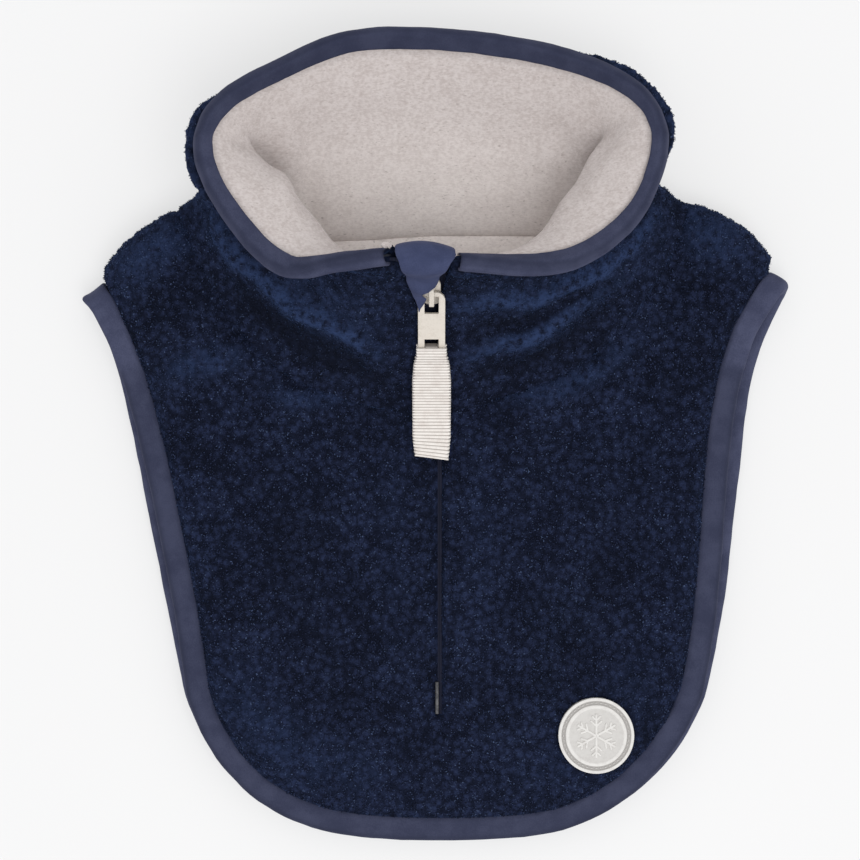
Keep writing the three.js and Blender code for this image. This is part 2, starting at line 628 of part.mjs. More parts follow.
function backLining() {
  const { plan } = bibPlan(backNeck, frontEdge, panelInset + 4 * clearance);
  const level = (height) => (s, t) => plan(s, t).setZ(height);
  const places = evenly(22, shoulderMargin, 1 - shoulderMargin);
  const body = sheet(level(liningTop), level(backTop + clearance), places, [0, 0.5, 1]);
  return cutBy(body, collarRoom(3 * clearance));
}

// One loop of binding: up the front, over the shoulder tips and down the back.
function edgeBinding() {
  const tipLift = 1.9; // the shoulder roll lifts the binding near its tips
  const tipReach = 0.07;
  const isMiddle = (a) => a === (bindingWidth - tongueInset) / 2; // flat legs need no middle points
  const frontLevel = (s) => {
    const nearTip = 1 - clamp(Math.min(s, 1 - s) / tipReach, 0, 1);
    return frontBindingLevel + tipLift * nearTip * nearTip * (3 - 2 * nearTip);
  };
  const frame = (curve, s, level) => {
    const { point, inward } = edgeFrame(curve, s);
    const origin = point.addScaledVector(inward, tongueInset).setZ(level);
    return { origin, across: inward, up: vec(0, 0, 1) };
  };
  const front = edgePlaces.map((s) => frame(frontEdge, s, frontLevel(s)));
  const back = edgePlaces.toReversed().map((s) => frame(backEdge, s, backBindingLevel));
  for (const one of back) one.up = vec(0, 0, -1);
  const turn = (from, to, direction) =>
    evenly(6)
      .slice(1, -1)
      .map((t) => {
        const angle = Math.PI * t;
        const radius = (from.origin.z - to.origin.z) / 2;
        const origin = from.origin.clone().lerp(to.origin, (1 - Math.cos(angle)) / 2);
        origin.addScaledVector(direction, radius * Math.sin(angle));
        const up = vec(0, 0, Math.cos(angle)).addScaledVector(direction, Math.sin(angle));
        const across = from.across.clone().lerp(to.across, t).setZ(0).normalize();
        return { origin, across, up: up.addScaledVector(across, -up.dot(across)).normalize() };
      });
  const rightWay = edgeFrame(frontEdge, 1).tangent;
  const leftWay = edgeFrame(frontEdge, 0).tangent.negate();
  const rightTip = turn(front.at(-1), back[0], rightWay);
  const leftTip = turn(front[0], back.at(-1), leftWay).reverse();
  const section = bindingSection(tongueThickness, bindingWidth - tongueInset).filter(([a]) => !isMiddle(a));
  const stations = [...front, ...rightTip, ...back, ...leftTip].map(({ origin, across: inward, up }) =>
    section.map(([a, b]) => origin.clone().addScaledVector(inward, a).addScaledVector(up, b)),
  );
  const { points, faces } = loft(stations, true);
  return closedMesh(points, faces);
}

// Zip. Its line runs up the slit of the bib and then up the collar wall.
function zipWall(v) {
  const left = wallFrame(0, v);
  const right = wallFrame(1, v);
  const origin = left.origin.clone().lerp(right.origin, 0.5).setX(0);
  const up = left.up.clone().add(right.up).setX(0).normalize();
  return { origin, up, out: vec(0, -up.z, up.y), left: left.origin.x, right: right.origin.x };
}

const tapeTop = 0.96; // the tapes end just under the rim
const tapeFoot = 0.04; // place up the wall where they bend onto it
const tapeDepth = 1.2; // the tapes lie this much below the top of the pile
const zipLevel = frontBottom + frontBibThickness - tapeDepth;
function zipFrames(bottom, top) {
  const wall = evenly(11, tapeFoot, top).map(zipWall);
  const rest = evenly(3, bottom, -2 * frontNeckGap).map((y) => ({
    origin: vec(0, y, zipLevel),
    up: vec(0, 1, 0),
    out: vec(0, 0, 1),
    left: -zipHalfWidth,
    right: zipHalfWidth,
  }));
  return [...rest, ...wall];
}

function zipStrip(bottom, top, offset, thickness, sides) {
  const frames = zipFrames(bottom, top);
  const place = (i, lift) => (side) => {
    const { origin, out } = frames[i];
    return origin.clone().setX(sides(frames[i])[side]).addScaledVector(out, lift);
  };
  return sheet(
    (u, i) => place(i, offset + thickness / 2)(u),
    (u, i) => place(i, offset - thickness / 2)(u),
    [0, 1],
    [...frames.keys()],
  );
}

const zipBottom = -zipDrop + clearance;
const tapeGap = 2 * clearance; // from the tape's outer side to the fleece edge
const zipTape = (side) =>
  zipStrip(zipBottom, tapeTop, 0, tapeThickness, ({ left, right }) =>
    side < 0 ? [left + tapeGap, -half] : [half, right - tapeGap],
  );

const coilOffset = -tapeThickness / 2 - clearance - coilThickness / 2;
const zipCoil = () =>
  zipStrip(zipBottom, sliderPlace, coilOffset, coilThickness, () => [-coilWidth / 2, coilWidth / 2]);

const box = (width, length, height, x, y, z) =>
  new THREE.BoxGeometry(width, length, height).translate(x, y, z);

function bottomStop() {
  const height = tapeThickness;
  const z = zipLevel + tapeThickness / 2 + clearance + height / 2;
  return box(stopWidth, stopLength, height, 0, zipBottom + stopLength / 2, z);
}

// Slider and pull share a frame: x across, y up the zip, z out of the wall.
const sliderPlace = 0.555;
const sliderSeat = tapeThickness / 2 + 2.5 * clearance; // underside of the plate, clear of the curved tapes
const sliderFrame = zipWall(sliderPlace);
const pivotHeight = sliderSeat + sliderPlate + clearance + Math.hypot(tabBar, tabThickness) / 2;

// A flat plate with rounded ends, centred on x = 0 and running down from y = top.
function roundedPlate(width, length, top, endRadius, thickness, z, windows = []) {
  const shape = new THREE.Shape();
  const side = width / 2;
  const bottom = top - length;
  shape.moveTo(-side, bottom + endRadius);
  shape.absarc(-side + endRadius, bottom + endRadius, endRadius, Math.PI, 1.5 * Math.PI, false);
  shape.absarc(side - endRadius, bottom + endRadius, endRadius, 1.5 * Math.PI, 2 * Math.PI, false);
  shape.absarc(side - endRadius, top - endRadius, endRadius, 0, Math.PI / 2, false);
  shape.absarc(-side + endRadius, top - endRadius, endRadius, Math.PI / 2, Math.PI, false);
  for (const { upper, size, across } of windows) {
    const hole = new THREE.Path();
    hole.moveTo(-across / 2, upper);
    hole.lineTo(-across / 2, upper - size);
    hole.lineTo(across / 2, upper - size);
    hole.lineTo(across / 2, upper);
    shape.holes.push(hole);
  }
  const plate = new THREE.ExtrudeGeometry(shape, { depth: thickness, bevelEnabled: false, curveSegments: 4 });
  return plate.translate(0, 0, z - thickness / 2);
}

function zipSlider() {
  const plateHeight = sliderSeat + sliderPlate / 2;
  const top = sliderLength * sliderHead;
  const plate = roundedPlate(sliderWidth, sliderLength, top, sliderCorner, sliderPlate, plateHeight);
  const base = plateHeight + sliderPlate / 2;
  const outline = new THREE.Shape();
  const innerHalf = bailSpan / 2;
  const outerHalf = innerHalf + bailWire;
  const peak = base + bailRoom + bailWire;
  outline.moveTo(-outerHalf, plateHeight);
  outline.lineTo(-outerHalf, peak - bailWire);
  outline.lineTo(-innerHalf, peak);
  outline.lineTo(innerHalf, peak);
  outline.lineTo(outerHalf, peak - bailWire);
  outline.lineTo(outerHalf, plateHeight);
  outline.lineTo(innerHalf, plateHeight);
  outline.lineTo(innerHalf, base + bailRoom);
  outline.lineTo(-innerHalf, base + bailRoom);
  outline.lineTo(-innerHalf, plateHeight);
  const bail = new THREE.ExtrudeGeometry(outline, { depth: bailWidth, bevelEnabled: false });
  bail.translate(0, 0, -bailWidth / 2);
  const upright = new THREE.Matrix4().makeBasis(vec(0, 1, 0), vec(0, 0, 1), vec(1, 0, 0));
  bail.applyMatrix4(upright);
  return joined(plate, bail);
}

// The pull hangs from the tab's top bar and rests above the fleece, where the wall is at restPlace.
const restPlace = 0.2;
const pivot = sliderFrame.origin.clone().addScaledVector(sliderFrame.out, pivotHeight);
const restFrame = zipWall(restPlace);
const restOffset = half + fleeceThickness + 3 * clearance + ribbonThickness + tabThickness / 2;
const restPoint = restFrame.origin.clone().addScaledVector(restFrame.out, restOffset);
const pullAngle = Math.atan2(pivot.z - restPoint.z, pivot.y - restPoint.y);
const sliderAngle = Math.atan2(sliderFrame.up.z, sliderFrame.up.y);

function pullTab() {
  const bottom = tabBar / 2 - tabLength;
  const windows = [
    { upper: -tabBar / 2, size: upperWindowLength, across: tabWindowWidth },
    { upper: bottom + tabBar + lowerWindowLength, size: lowerWindowLength, across: tabWindowWidth },
  ];
  return roundedPlate(tabWidth, tabLength, tabBar / 2, tabCorner, tabThickness, 0, windows);
}

// The height of the fleece beside the zip at a distance behind the neckline.
function fleeceHeight(y) {
  const foot = wallOffset(0, 0, half + fleeceThickness);
  if (y < foot.y) return frontBibTop(vec(tabSide, y, 0), -frontNeckGap - y, bibDrop / 2, bibHalfWidth);
  const steps = evenly(60, 0, 0.8).map((v) => {
    const { origin, out } = zipWall(v);
    return origin.addScaledVector(out, half + fleeceThickness);
  });
  const next = steps.find((point) => point.y >= y) ?? steps.at(-1);
  return next.z;
}

// The ribbon is doubled round the tab's lower bar. Its two layers part there and lie together below.
function ribbonPull() {
  const barEnd = tabBar / 2 - tabLength;
  const apart = tabThickness / 2 + clearance + ribbonThickness / 2;
  const together = ribbonThickness / 2;
  const start = barEnd + tabBar + clearance + ribbonThickness;
  const yAxis = vec(0, Math.cos(pullAngle), Math.sin(pullAngle));
  const zAxis = vec(0, -Math.sin(pullAngle), Math.cos(pullAngle));
  const tabEnd = pivot.clone().addScaledVector(yAxis, barEnd);
  const draped = (run, width) => {
    const y = tabEnd.y - run;
    const rest = fleeceHeight(y) + 2 * clearance + 2 * ribbonThickness;
    const straight = tabEnd.z - run * Math.tan(pullAngle);
    const spot = vec(0, y, Math.max(rest, straight)).sub(pivot);
    return { y: spot.dot(yAxis), lift: spot.dot(zAxis), width, apart: together };
  };
  const stations = [
    { y: start, width: ribbonThroat, apart, lift: 0 },
    { y: barEnd - clearance, width: ribbonThroat, apart, lift: 0 },
    { y: barEnd - 3, width: lerp(ribbonThroat, ribbonWidth, 0.6), apart: together, lift: 0 },
    ...ribbonPlaces.map((share) => draped(share * ribbonPlan, ribbonWidth)),
    draped(ribbonPlan, lerp(ribbonThroat, ribbonWidth, 0.4)),
  ];
  const layer = (side) => {
    const surface = (offset) => (u, i) => {
      const { y, width, apart: gap, lift } = stations[i];
      return vec((u - 0.5) * width, y, lift + side * gap + offset);
    };
    const grown = ribbonThickness / 2 + fuse; // the two layers meet and are one below the tab
    return sheet(surface(grown), surface(-grown), [0, 1], [...stations.keys()]);
  };
  const loopWidth = tabWindowWidth - 2 * clearance;
  const loop = box(loopWidth, ribbonThickness, 2 * apart, 0, start - ribbonThickness / 2, 0);
  return joined(layer(1), layer(-1), loop);
}

function garage() {
  const rows = GARAGE.length - 1;
  const surface = (side) => (u, i) => {
    const { wall, over, lift, left, right, crown } = GARAGE[i];
    const { origin, up, out } = zipWall(wall);
    const x = lerp(left, right, u) * rimHalfWidth;
    const before = GARAGE[Math.max(i - 1, 0)];
    const after = GARAGE[Math.min(i + 1, rows)];
    const path = (row) => {
      const frame = zipWall(row.wall);
      frame.origin.addScaledVector(frame.up, row.over * fleeceThickness);
      return frame.origin.addScaledVector(frame.out, row.lift * fleeceThickness);
    };
    const way = path(after).sub(path(before)).normalize();
    const normal = vec(0, -way.z, way.y);
    const bulge = crown * fleeceThickness * Math.sin(Math.PI * u);
    return origin
      .addScaledVector(up, over * fleeceThickness)
      .addScaledVector(out, lift * fleeceThickness)
      .setX(x)
      .addScaledVector(normal, bulge + (side * garageThickness) / 2);
  };
  return sheet(surface(1), surface(-1), evenly(4), evenly(rows, 0, rows).map(Math.round));
}

// Badge: a disc with a raised rim, an inner ring and a plain six-armed snowflake.
const badgeSeat = frontBottom + frontBibThickness + badgeLift;
const disc = (radius, height, z, sides) =>
  new THREE.CylinderGeometry(radius, radius, height, sides)
    .rotateX(Math.PI / 2)
    .translate(badgeAcross, -badgeDrop, z);

function badgePocket() {
  const depth = 4 * fleeceThickness;
  return disc(badgeDiameter / 2 + clearance, depth, badgeSeat - clearance + depth / 2, badgeSides);
}

function ring(outerRadius, innerRadius, height, z) {
  const profile = [
    new THREE.Vector2(innerRadius, z),
    new THREE.Vector2(outerRadius, z),
    new THREE.Vector2(outerRadius, z + height),
    new THREE.Vector2(innerRadius, z + height),
    new THREE.Vector2(innerRadius, z),
  ];
  const turned = new THREE.LatheGeometry(profile, badgeSides).rotateX(Math.PI / 2);
  return turned.translate(badgeAcross, -badgeDrop, 0);
}

function badge() {
  const radius = badgeDiameter / 2;
  const bodyHeight = badgeThickness - badgeRelief;
  const top = badgeSeat + bodyHeight;
  const relief = badgeRelief + fuse;
  const rim = ring(radius, radius - badgeRimWidth, relief, top - fuse);
  const innerRadius = radius * badgeInnerRing;
  const inner = ring(innerRadius, innerRadius - badgeRimWidth / 2, relief, top - fuse);
  const arms = [0, 1, 2].map((k) =>
    new THREE.BoxGeometry(2 * innerRadius * badgeArm, badgeRimWidth / 2, relief)
      .rotateZ((k * Math.PI) / 3)
      .translate(badgeAcross, -badgeDrop, top + relief / 2 - fuse),
  );
  const body = disc(radius, bodyHeight, badgeSeat + bodyHeight / 2, badgeSides);
  return joined(body, rim, inner, ...arms);
}

// Assembly
function piece(name, geometry, material) {
  const made = new THREE.Mesh(geometry, material);
  made.name = name;
  return made;
}

const garment = new THREE.Group();
garment.add(
  piece("front_bib", frontBib(), FINISHES.teddy),
  piece("back_bib", backBib(), FINISHES.teddy),
  piece("back_lining", backLining(), FINISHES.lining),
  piece("collar_shell", collarCloth(1, fleeceThickness), FINISHES.teddy),
  piece("collar_lining", collarCloth(-1, liningThickness), FINISHES.lining),
  piece("rim_binding", rimBinding(), FINISHES.jersey),
  piece("edge_binding", edgeBinding(), FINISHES.jersey),
  piece("zip_tape_left", zipTape(-1), FINISHES.tape),
  piece("zip_tape_right", zipTape(1), FINISHES.tape),
  piece("zip_coil", zipCoil(), FINISHES.coil),
  piece("zip_bottom_stop", bottomStop(), FINISHES.steel),
  piece("zip_garage", garage(), FINISHES.jersey),
  piece("badge", badge(), FINISHES.silicone),
);

const slider = new THREE.Group();
const sliderBasis = new THREE.Matrix4().makeBasis(vec(1, 0, 0), sliderFrame.up, sliderFrame.out);
slider.quaternion.setFromRotationMatrix(sliderBasis);
slider.position.copy(sliderFrame.origin).setX(tabSide);
slider.add(piece("zip_slider", zipSlider(), FINISHES.cream));
garment.add(slider);

const pull = new THREE.Group();
pull.position.set(0, 0, pivotHeight);
pull.rotation.x = pullAngle - sliderAngle;
pull.add(piece("pull_tab", pullTab(), FINISHES.cream));
pull.add(piece("ribbon_pull", ribbonPull(), FINISHES.ribbon));
slider.add(pull);

const dickey = new THREE.Group();
dickey.add(garment);
dickey.updateMatrixWorld(true);
const bounds = new THREE.Box3().setFromObject(garment, true);
const middle = bounds.getCenter(vec(0, 0, 0));
garment.position.set(-middle.x, -middle.y, -bounds.min.z);

export default dickey;
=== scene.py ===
"""The looks of a child's zip-neck dickey in navy teddy fleece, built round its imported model.

Lengths are in metres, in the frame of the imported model: +X to the right, +Y from the hem to the collar
and +Z up from the table that the dickey lies on.
"""

from __future__ import annotations

import logging
import math
from collections.abc import Callable, Sequence
from dataclasses import dataclass
from enum import Enum

import bpy
import numpy as np
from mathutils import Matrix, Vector
from mathutils.bvhtree import BVHTree

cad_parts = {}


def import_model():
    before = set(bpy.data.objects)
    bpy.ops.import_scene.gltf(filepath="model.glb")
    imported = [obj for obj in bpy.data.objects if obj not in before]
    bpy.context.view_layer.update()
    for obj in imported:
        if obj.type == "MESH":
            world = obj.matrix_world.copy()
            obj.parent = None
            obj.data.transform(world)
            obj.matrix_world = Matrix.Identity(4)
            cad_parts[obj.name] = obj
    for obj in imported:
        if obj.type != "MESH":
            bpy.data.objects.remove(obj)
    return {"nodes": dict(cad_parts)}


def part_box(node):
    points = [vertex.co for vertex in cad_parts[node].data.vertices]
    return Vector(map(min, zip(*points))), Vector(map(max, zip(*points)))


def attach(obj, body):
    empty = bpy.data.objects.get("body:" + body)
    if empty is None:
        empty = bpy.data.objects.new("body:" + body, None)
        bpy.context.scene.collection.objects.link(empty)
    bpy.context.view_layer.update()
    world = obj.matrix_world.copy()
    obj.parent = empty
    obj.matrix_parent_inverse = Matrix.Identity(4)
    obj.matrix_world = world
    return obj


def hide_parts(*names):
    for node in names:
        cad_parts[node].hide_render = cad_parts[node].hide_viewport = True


log = logging.getLogger("dickey")

MM = 0.001
WELD = 0.02 * MM  # points closer than this are one
LEAN = 0.6  # radians that strands lean at most
STRAND_SIZES = (0.6, 1.5)  # times the strand's own size
GARMENT = "garment"
PULL = "pull"
TAPES = ("zip_tape_left", "zip_tape_right")
STRAND_SHADE = "strand_shade"  # a shade of its own for each strand
PILE = "pile"  # where strands grow
RELIEF = "relief"  # where a mesh may swell without touching its neighbours
FOLD_SHADING = "lay"  # painted light on a fold's crest (above half) and painted shade in its valley (below half)
RAISED = "raised"  # height of ribs, rings and other small relief
TURNED_CLOTH_AND_SHADE = "turned"  # dark cloth turned over the collar's lining beside the zip, and painted shade on the back's lining behind it
SHADED = "shaded"  # painted shade where a binding dips under the pile beside it, and further up towards the back of the collar
Piece = bpy.types.Object
Material = bpy.types.Material
Colour = tuple[float, float, float, float]
Spot = tuple[float, float]  # a place seen from above, in millimetres
Span = tuple[float, float]  # from here to there
NODES: dict[str, Piece] = {}


def colour(red: float, green: float, blue: float) -> Colour:
    """A linear colour from screen values of 0 to 255."""
    shares = [channel / 255 for channel in (red, green, blue)]
    linear = [share / 12.92 if share <= 0.04045 else ((share + 0.055) / 1.055) ** 2.4 for share in shares]
    return (*linear, 1.0)


# Node trees


class Socket:
    """An output of a node that takes part in Python arithmetic."""

    def __init__(self, graph: Graph, output: bpy.types.NodeSocket) -> None:
        """Keeps the output and the graph that it belongs to."""
        self.graph = graph
        self.output = output

    def _math(self, operation: str, first: Socket | float, second: Socket | float) -> Socket:
        """A Math node on two numbers."""
        return self.graph.node("ShaderNodeMath", {"operation": operation}, {0: first, 1: second})

    def __add__(self, other: Socket | float) -> Socket:
        """self + other."""
        return self._math("ADD", self, other)

    def __radd__(self, other: float) -> Socket:
        """other + self."""
        return self._math("ADD", other, self)

    def __sub__(self, other: Socket | float) -> Socket:
        """self - other."""
        return self._math("SUBTRACT", self, other)

    def __rsub__(self, other: float) -> Socket:
        """other - self."""
        return self._math("SUBTRACT", other, self)

    def __mul__(self, other: Socket | float) -> Socket:
        """self * other."""
        return self._math("MULTIPLY", self, other)

    def __rmul__(self, other: float) -> Socket:
        """other * self."""
        return self._math("MULTIPLY", other, self)


class Graph:
    """A node tree that is written as Python expressions."""

    def __init__(self, tree: bpy.types.NodeTree) -> None:
        """Wraps a tree and empties it."""
        self.tree = tree
        tree.nodes.clear()

    def node(
        self,
        kind: str,
        settings: dict[str, object] | None = None,
        inputs: dict[int | str, object] | None = None,
        output: int | str | None = 0,
    ) -> Socket | None:
        """Adds a node.

        Args:
            kind: the node's type.
            settings: its own values, set first. stops gives a ramp's (place, colour) pairs.
            inputs: a value or a Socket for each of its inputs.
            output: the output that is handed back, if any.

        Returns:
            The node's output, or None.
        """
        made = self.tree.nodes.new(kind)
        for name, value in (settings or {}).items():
            if name == "stops":
                self._set_stops(made.color_ramp, value)
            else:
                setattr(made, name, value)
        for key, value in (inputs or {}).items():
            if isinstance(value, Socket):
                self.tree.links.new(value.output, made.inputs[key])
            else:
                made.inputs[key].default_value = value
        return Socket(self, made.outputs[output]) if output is not None else None

    @staticmethod
    def _set_stops(ramp: bpy.types.ColorRamp, stops: Sequence[tuple[float, Colour]]) -> None:
        """Gives a ramp its colours."""
        while len(ramp.elements) < len(stops):
            ramp.elements.new(1.0)
        for element, (place, shade) in zip(ramp.elements, stops):
            element.position = place
            element.color = shade


class Shader(Graph):
    """A material's node tree."""

    def __init__(self, name: str) -> None:
        """Makes an empty material."""
        self.material = bpy.data.materials.new(name)
        self.material.use_nodes = True
        super().__init__(self.material.node_tree)
        self.place = self.node("ShaderNodeTexCoord", output="Object")

    def stretched(self, scale: tuple[float, float, float]) -> Socket:
        """The place on the piece, scaled for a pattern that runs one way."""
        inputs = {"Vector": self.place, "Scale": scale}
        return self.node("ShaderNodeMapping", {"vector_type": "POINT"}, inputs)

    def noise(self, size: float, detail: float = 2, place: Socket | None = None) -> Socket:
        """Soft noise whose blobs have a size in metres."""
        inputs = {"Vector": place or self.place, "Scale": 1 / size, "Detail": detail, "Roughness": 0.6}
        return self.node("ShaderNodeTexNoise", {"noise_dimensions": "3D"}, inputs)

    def cells(self, size: float) -> Socket:
        """The distance to the nearest of scattered points, 0 at each of them."""
        inputs = {"Vector": self.place, "Scale": 1 / size, "Smoothness": 0.35}
        return self.node("ShaderNodeTexVoronoi", {"feature": "SMOOTH_F1"}, inputs)

    def height(self, low: float, high: float) -> Socket:
        """How high the place lies, from 0 at low to 1 at high."""
        return self.level(self.node("ShaderNodeSeparateXYZ", None, {"Vector": self.place}, "Z"), low, high)

    def stored(self, name: str) -> Socket:
        """A number that the mesh holds at each point."""
        return self.node("ShaderNodeAttribute", {"attribute_name": name}, output="Fac")

    def ramp(self, factor: Socket, stops: Sequence[tuple[float, Colour]]) -> Socket:
        """Colours along a factor."""
        return self.node("ShaderNodeValToRGB", {"stops": stops}, {"Fac": factor})

    def blend(self, factor: Socket | float, first: Socket | Colour, second: Socket | Colour) -> Socket:
        """Mixes two colours."""
        settings = {"data_type": "RGBA", "clamp_factor": True}
        return self.node("ShaderNodeMix", settings, {0: factor, 6: first, 7: second}, output=2)

    def level(self, value: Socket, low: float, high: float) -> Socket:
        """Spreads a range of a value over 0 to 1."""
        inputs = {"Value": value, "From Min": low, "From Max": high}
        return self.node("ShaderNodeMapRange", {"interpolation_type": "SMOOTHSTEP"}, inputs)

    def bump(self, height: Socket, depth: float, strength: float = 1.0) -> Socket:
        """A normal from a height, which spans a depth in metres."""
        inputs = {"Height": height, "Distance": depth, "Strength": strength}
        return self.node("ShaderNodeBump", inputs=inputs)

    def finish(self, base: Socket | Colour, **sockets: object) -> Material:
        """Closes the material with a Principled shader.

        Args:
            base: its colour.
            sockets: its other inputs, with _ for the spaces in their names.

        Returns:
            The finished material.
        """
        inputs = {name.replace("_", " "): value for name, value in sockets.items()}
        surface = self.node("ShaderNodeBsdfPrincipled", inputs={"Base Color": base, **inputs})
        self.node("ShaderNodeOutputMaterial", inputs={"Surface": surface}, output=None)
        return self.material


# Finishes


@dataclass(frozen=True)
class TeddyFleece:
    """Curly fleece: darker between its curls and a little lighter and bluer on their tips, which is painted
    shade and light on the ground and a random tone on the strands; its folds get painted light and shade.
    """

    deep: Colour = colour(13, 17, 30)
    middle: Colour = colour(25, 31, 51)
    tip: Colour = colour(38, 47, 74)
    glint: Colour = colour(66, 80, 110)
    # painted highlight on the crests of folds
    raised: Colour = colour(46, 61, 96)
    valley_shade: Colour = colour(12, 15, 26)
    curl: float = 2.2 * MM
    nub: float = 0.6 * MM
    relief: float = 0.35 * MM
    tint: Colour = colour(110, 150, 225)

    def _toned(self, shader: Shader, base: Socket) -> Socket:
        """Paints light on the crests of folds and shade in their valleys."""
        lay = shader.stored(FOLD_SHADING)
        broken = shader.level(shader.noise(2.6 * MM, detail=3), 0.3, 0.62)
        crest_lit = shader.blend(shader.level(lay, 0.5, 1.0) * broken * 0.85, base, self.raised)
        return shader.blend(shader.level(0.5 - lay, 0.0, 0.5) * 0.7, crest_lit, self.valley_shade)

    def ground(self) -> Material:
        """The fleece under the strands."""
        shader = Shader("teddy_ground")
        broad = shader.noise(16 * MM, detail=3)
        curls = 1 - shader.cells(self.curl)
        nubs = shader.noise(self.nub, detail=2)
        height = shader.level(curls, 0.15, 0.9) * 0.4 + nubs * 0.6
        # painted shade in the hollows between curls and painted light on their tops, mixed with broad tone
        # that differs at random
        tone = shader.level(height * 0.65 + broad * 0.35, 0.32, 0.76)
        base = shader.ramp(tone, [(0.0, self.deep), (0.5, self.middle), (1.0, self.tip)])
        return shader.finish(
            self._toned(shader, base),
            Roughness=0.95,
            Specular_IOR_Level=0.06,
            Sheen_Weight=0.2,
            Sheen_Roughness=0.4,
            Sheen_Tint=self.tint,
            Normal=shader.bump(height, self.relief, 0.7),
        )

    def strands(self) -> Material:
        """The curled strands, each with a shade of its own."""
        shader = Shader("teddy_strands")
        shade = shader.stored(STRAND_SHADE)
        patches = shader.noise(2.8 * MM, detail=3)
        broad = shader.noise(16 * MM, detail=3)
        tone = shader.level(shade * 0.5 + patches * 0.3 + broad * 0.2, 0.18, 0.82)
        stops = [(0.0, self.deep), (0.45, self.middle), (0.88, self.tip), (1.0, self.glint)]
        return shader.finish(
            self._toned(shader, shader.ramp(tone, stops)),
            Roughness=0.85,
            Specular_IOR_Level=0.1,
            Sheen_Weight=0.25,
            Sheen_Roughness=0.35,
            Sheen_Tint=self.tint,
        )


@dataclass(frozen=True)
class Microfleece:
    """Short light pile with fine streaks and specks, with light painted on it deep inside the collar."""

    pale: Colour = colour(206, 198, 196)
    shade: Colour = colour(186, 176, 173)
    speck: Colour = colour(150, 138, 135)
    # painted light: the paler cloth deep inside the collar
    lit_deep: Colour = colour(248, 240, 236)
    lit_deep_shade: Colour = colour(232, 223, 219)
    # dark navy: cloth turned over the collar's lining, and painted shade on the back's lining behind the zip
    turned: Colour = colour(24, 30, 50)
    fibre: float = 0.42 * MM
    relief: float = 0.14 * MM

    def material(self) -> Material:
        """The finished cloth."""
        shader = Shader("microfleece")
        along = shader.stretched((0.4, 1.0, 1.0))
        fibres = shader.noise(self.fibre, detail=3, place=along)
        nubs = shader.noise(1.2 * MM, detail=2)
        patches = shader.noise(6 * MM, detail=2)
        tone = shader.level(fibres * 0.45 + nubs * 0.4 + patches * 0.15, 0.36, 0.62)
        second_tone = shader.blend(tone, self.shade, self.pale)
        lit_deep = shader.blend(tone, self.lit_deep_shade, self.lit_deep)
        # painted light, growing from 23 mm down to 4 mm above the table
        cloth = shader.blend(shader.height(4 * MM, 23 * MM), lit_deep, second_tone)
        specks = shader.level(shader.noise(0.55 * MM, detail=1, place=along), 0.67, 0.76)
        plain = shader.blend(specks * 0.5, cloth, self.speck)
        # dark turned cloth on the collar's lining and painted shade on the back's lining
        base = shader.blend(shader.stored(TURNED_CLOTH_AND_SHADE), plain, self.turned)
        return shader.finish(
            base,
            Roughness=0.95,
            Specular_IOR_Level=0.08,
            Sheen_Weight=0.12,
            Sheen_Roughness=0.5,
            Normal=shader.bump(fibres * 0.35 + nubs * 0.65, self.relief, 0.7),
        )


@dataclass(frozen=True)
class Jersey:
    """Smooth fine jersey of the bindings."""

    name: str = "jersey"
    light: Colour = colour(71, 75, 99)
    dark: Colour = colour(55, 59, 82)
    # the colour of the painted shade
    under: Colour = colour(30, 34, 52)
    rib: float = 0.3 * MM

    def material(self) -> Material:
        """The finished cloth."""
        shader = Shader(self.name)
        wales = shader.noise(self.rib, detail=2, place=shader.stretched((1.0, 0.7, 1.0)))
        cloudy = shader.noise(7 * MM, detail=3)
        cloth = shader.blend(shader.level(wales * 0.4 + cloudy * 0.6, 0.36, 0.66), self.dark, self.light)
        # painted shade along the binding's inner edge and towards the back of the collar
        base = shader.blend(shader.stored(SHADED), cloth, self.under)
        return shader.finish(
            base,
            Roughness=0.85,
            Specular_IOR_Level=0.15,
            Sheen_Weight=0.08,
            Sheen_Roughness=0.4,
            Sheen_Tint=colour(180, 180, 215),
            Normal=shader.bump(wales * 0.7 + cloudy * 0.3, 0.05 * MM, 0.6),
        )


@dataclass(frozen=True)
class ZipTape:
    """Fine woven tape with lengthwise ribs."""

    light: Colour = colour(32, 35, 52)
    dark: Colour = colour(24, 27, 42)
    rib: float = 0.3 * MM

    def material(self) -> Material:
        """The finished tape."""
        shader = Shader("zip_tape")
        settings = {"wave_type": "BANDS", "bands_direction": "X"}
        inputs = {"Vector": shader.place, "Scale": 0.1 / self.rib, "Distortion": 0.6, "Detail Scale": 3.0}
        ribs = shader.node("ShaderNodeTexWave", settings, inputs, output="Fac")
        grain = shader.noise(0.5 * MM, detail=2, place=shader.stretched((1.0, 0.3, 0.3)))
        height = ribs * 0.6 + grain * 0.4
        base = shader.blend(shader.level(height, 0.2, 0.8), self.dark, self.light)
        return shader.finish(
            base, Roughness=0.8, Specular_IOR_Level=0.12, Normal=shader.bump(height, 0.05 * MM, 0.7)
        )


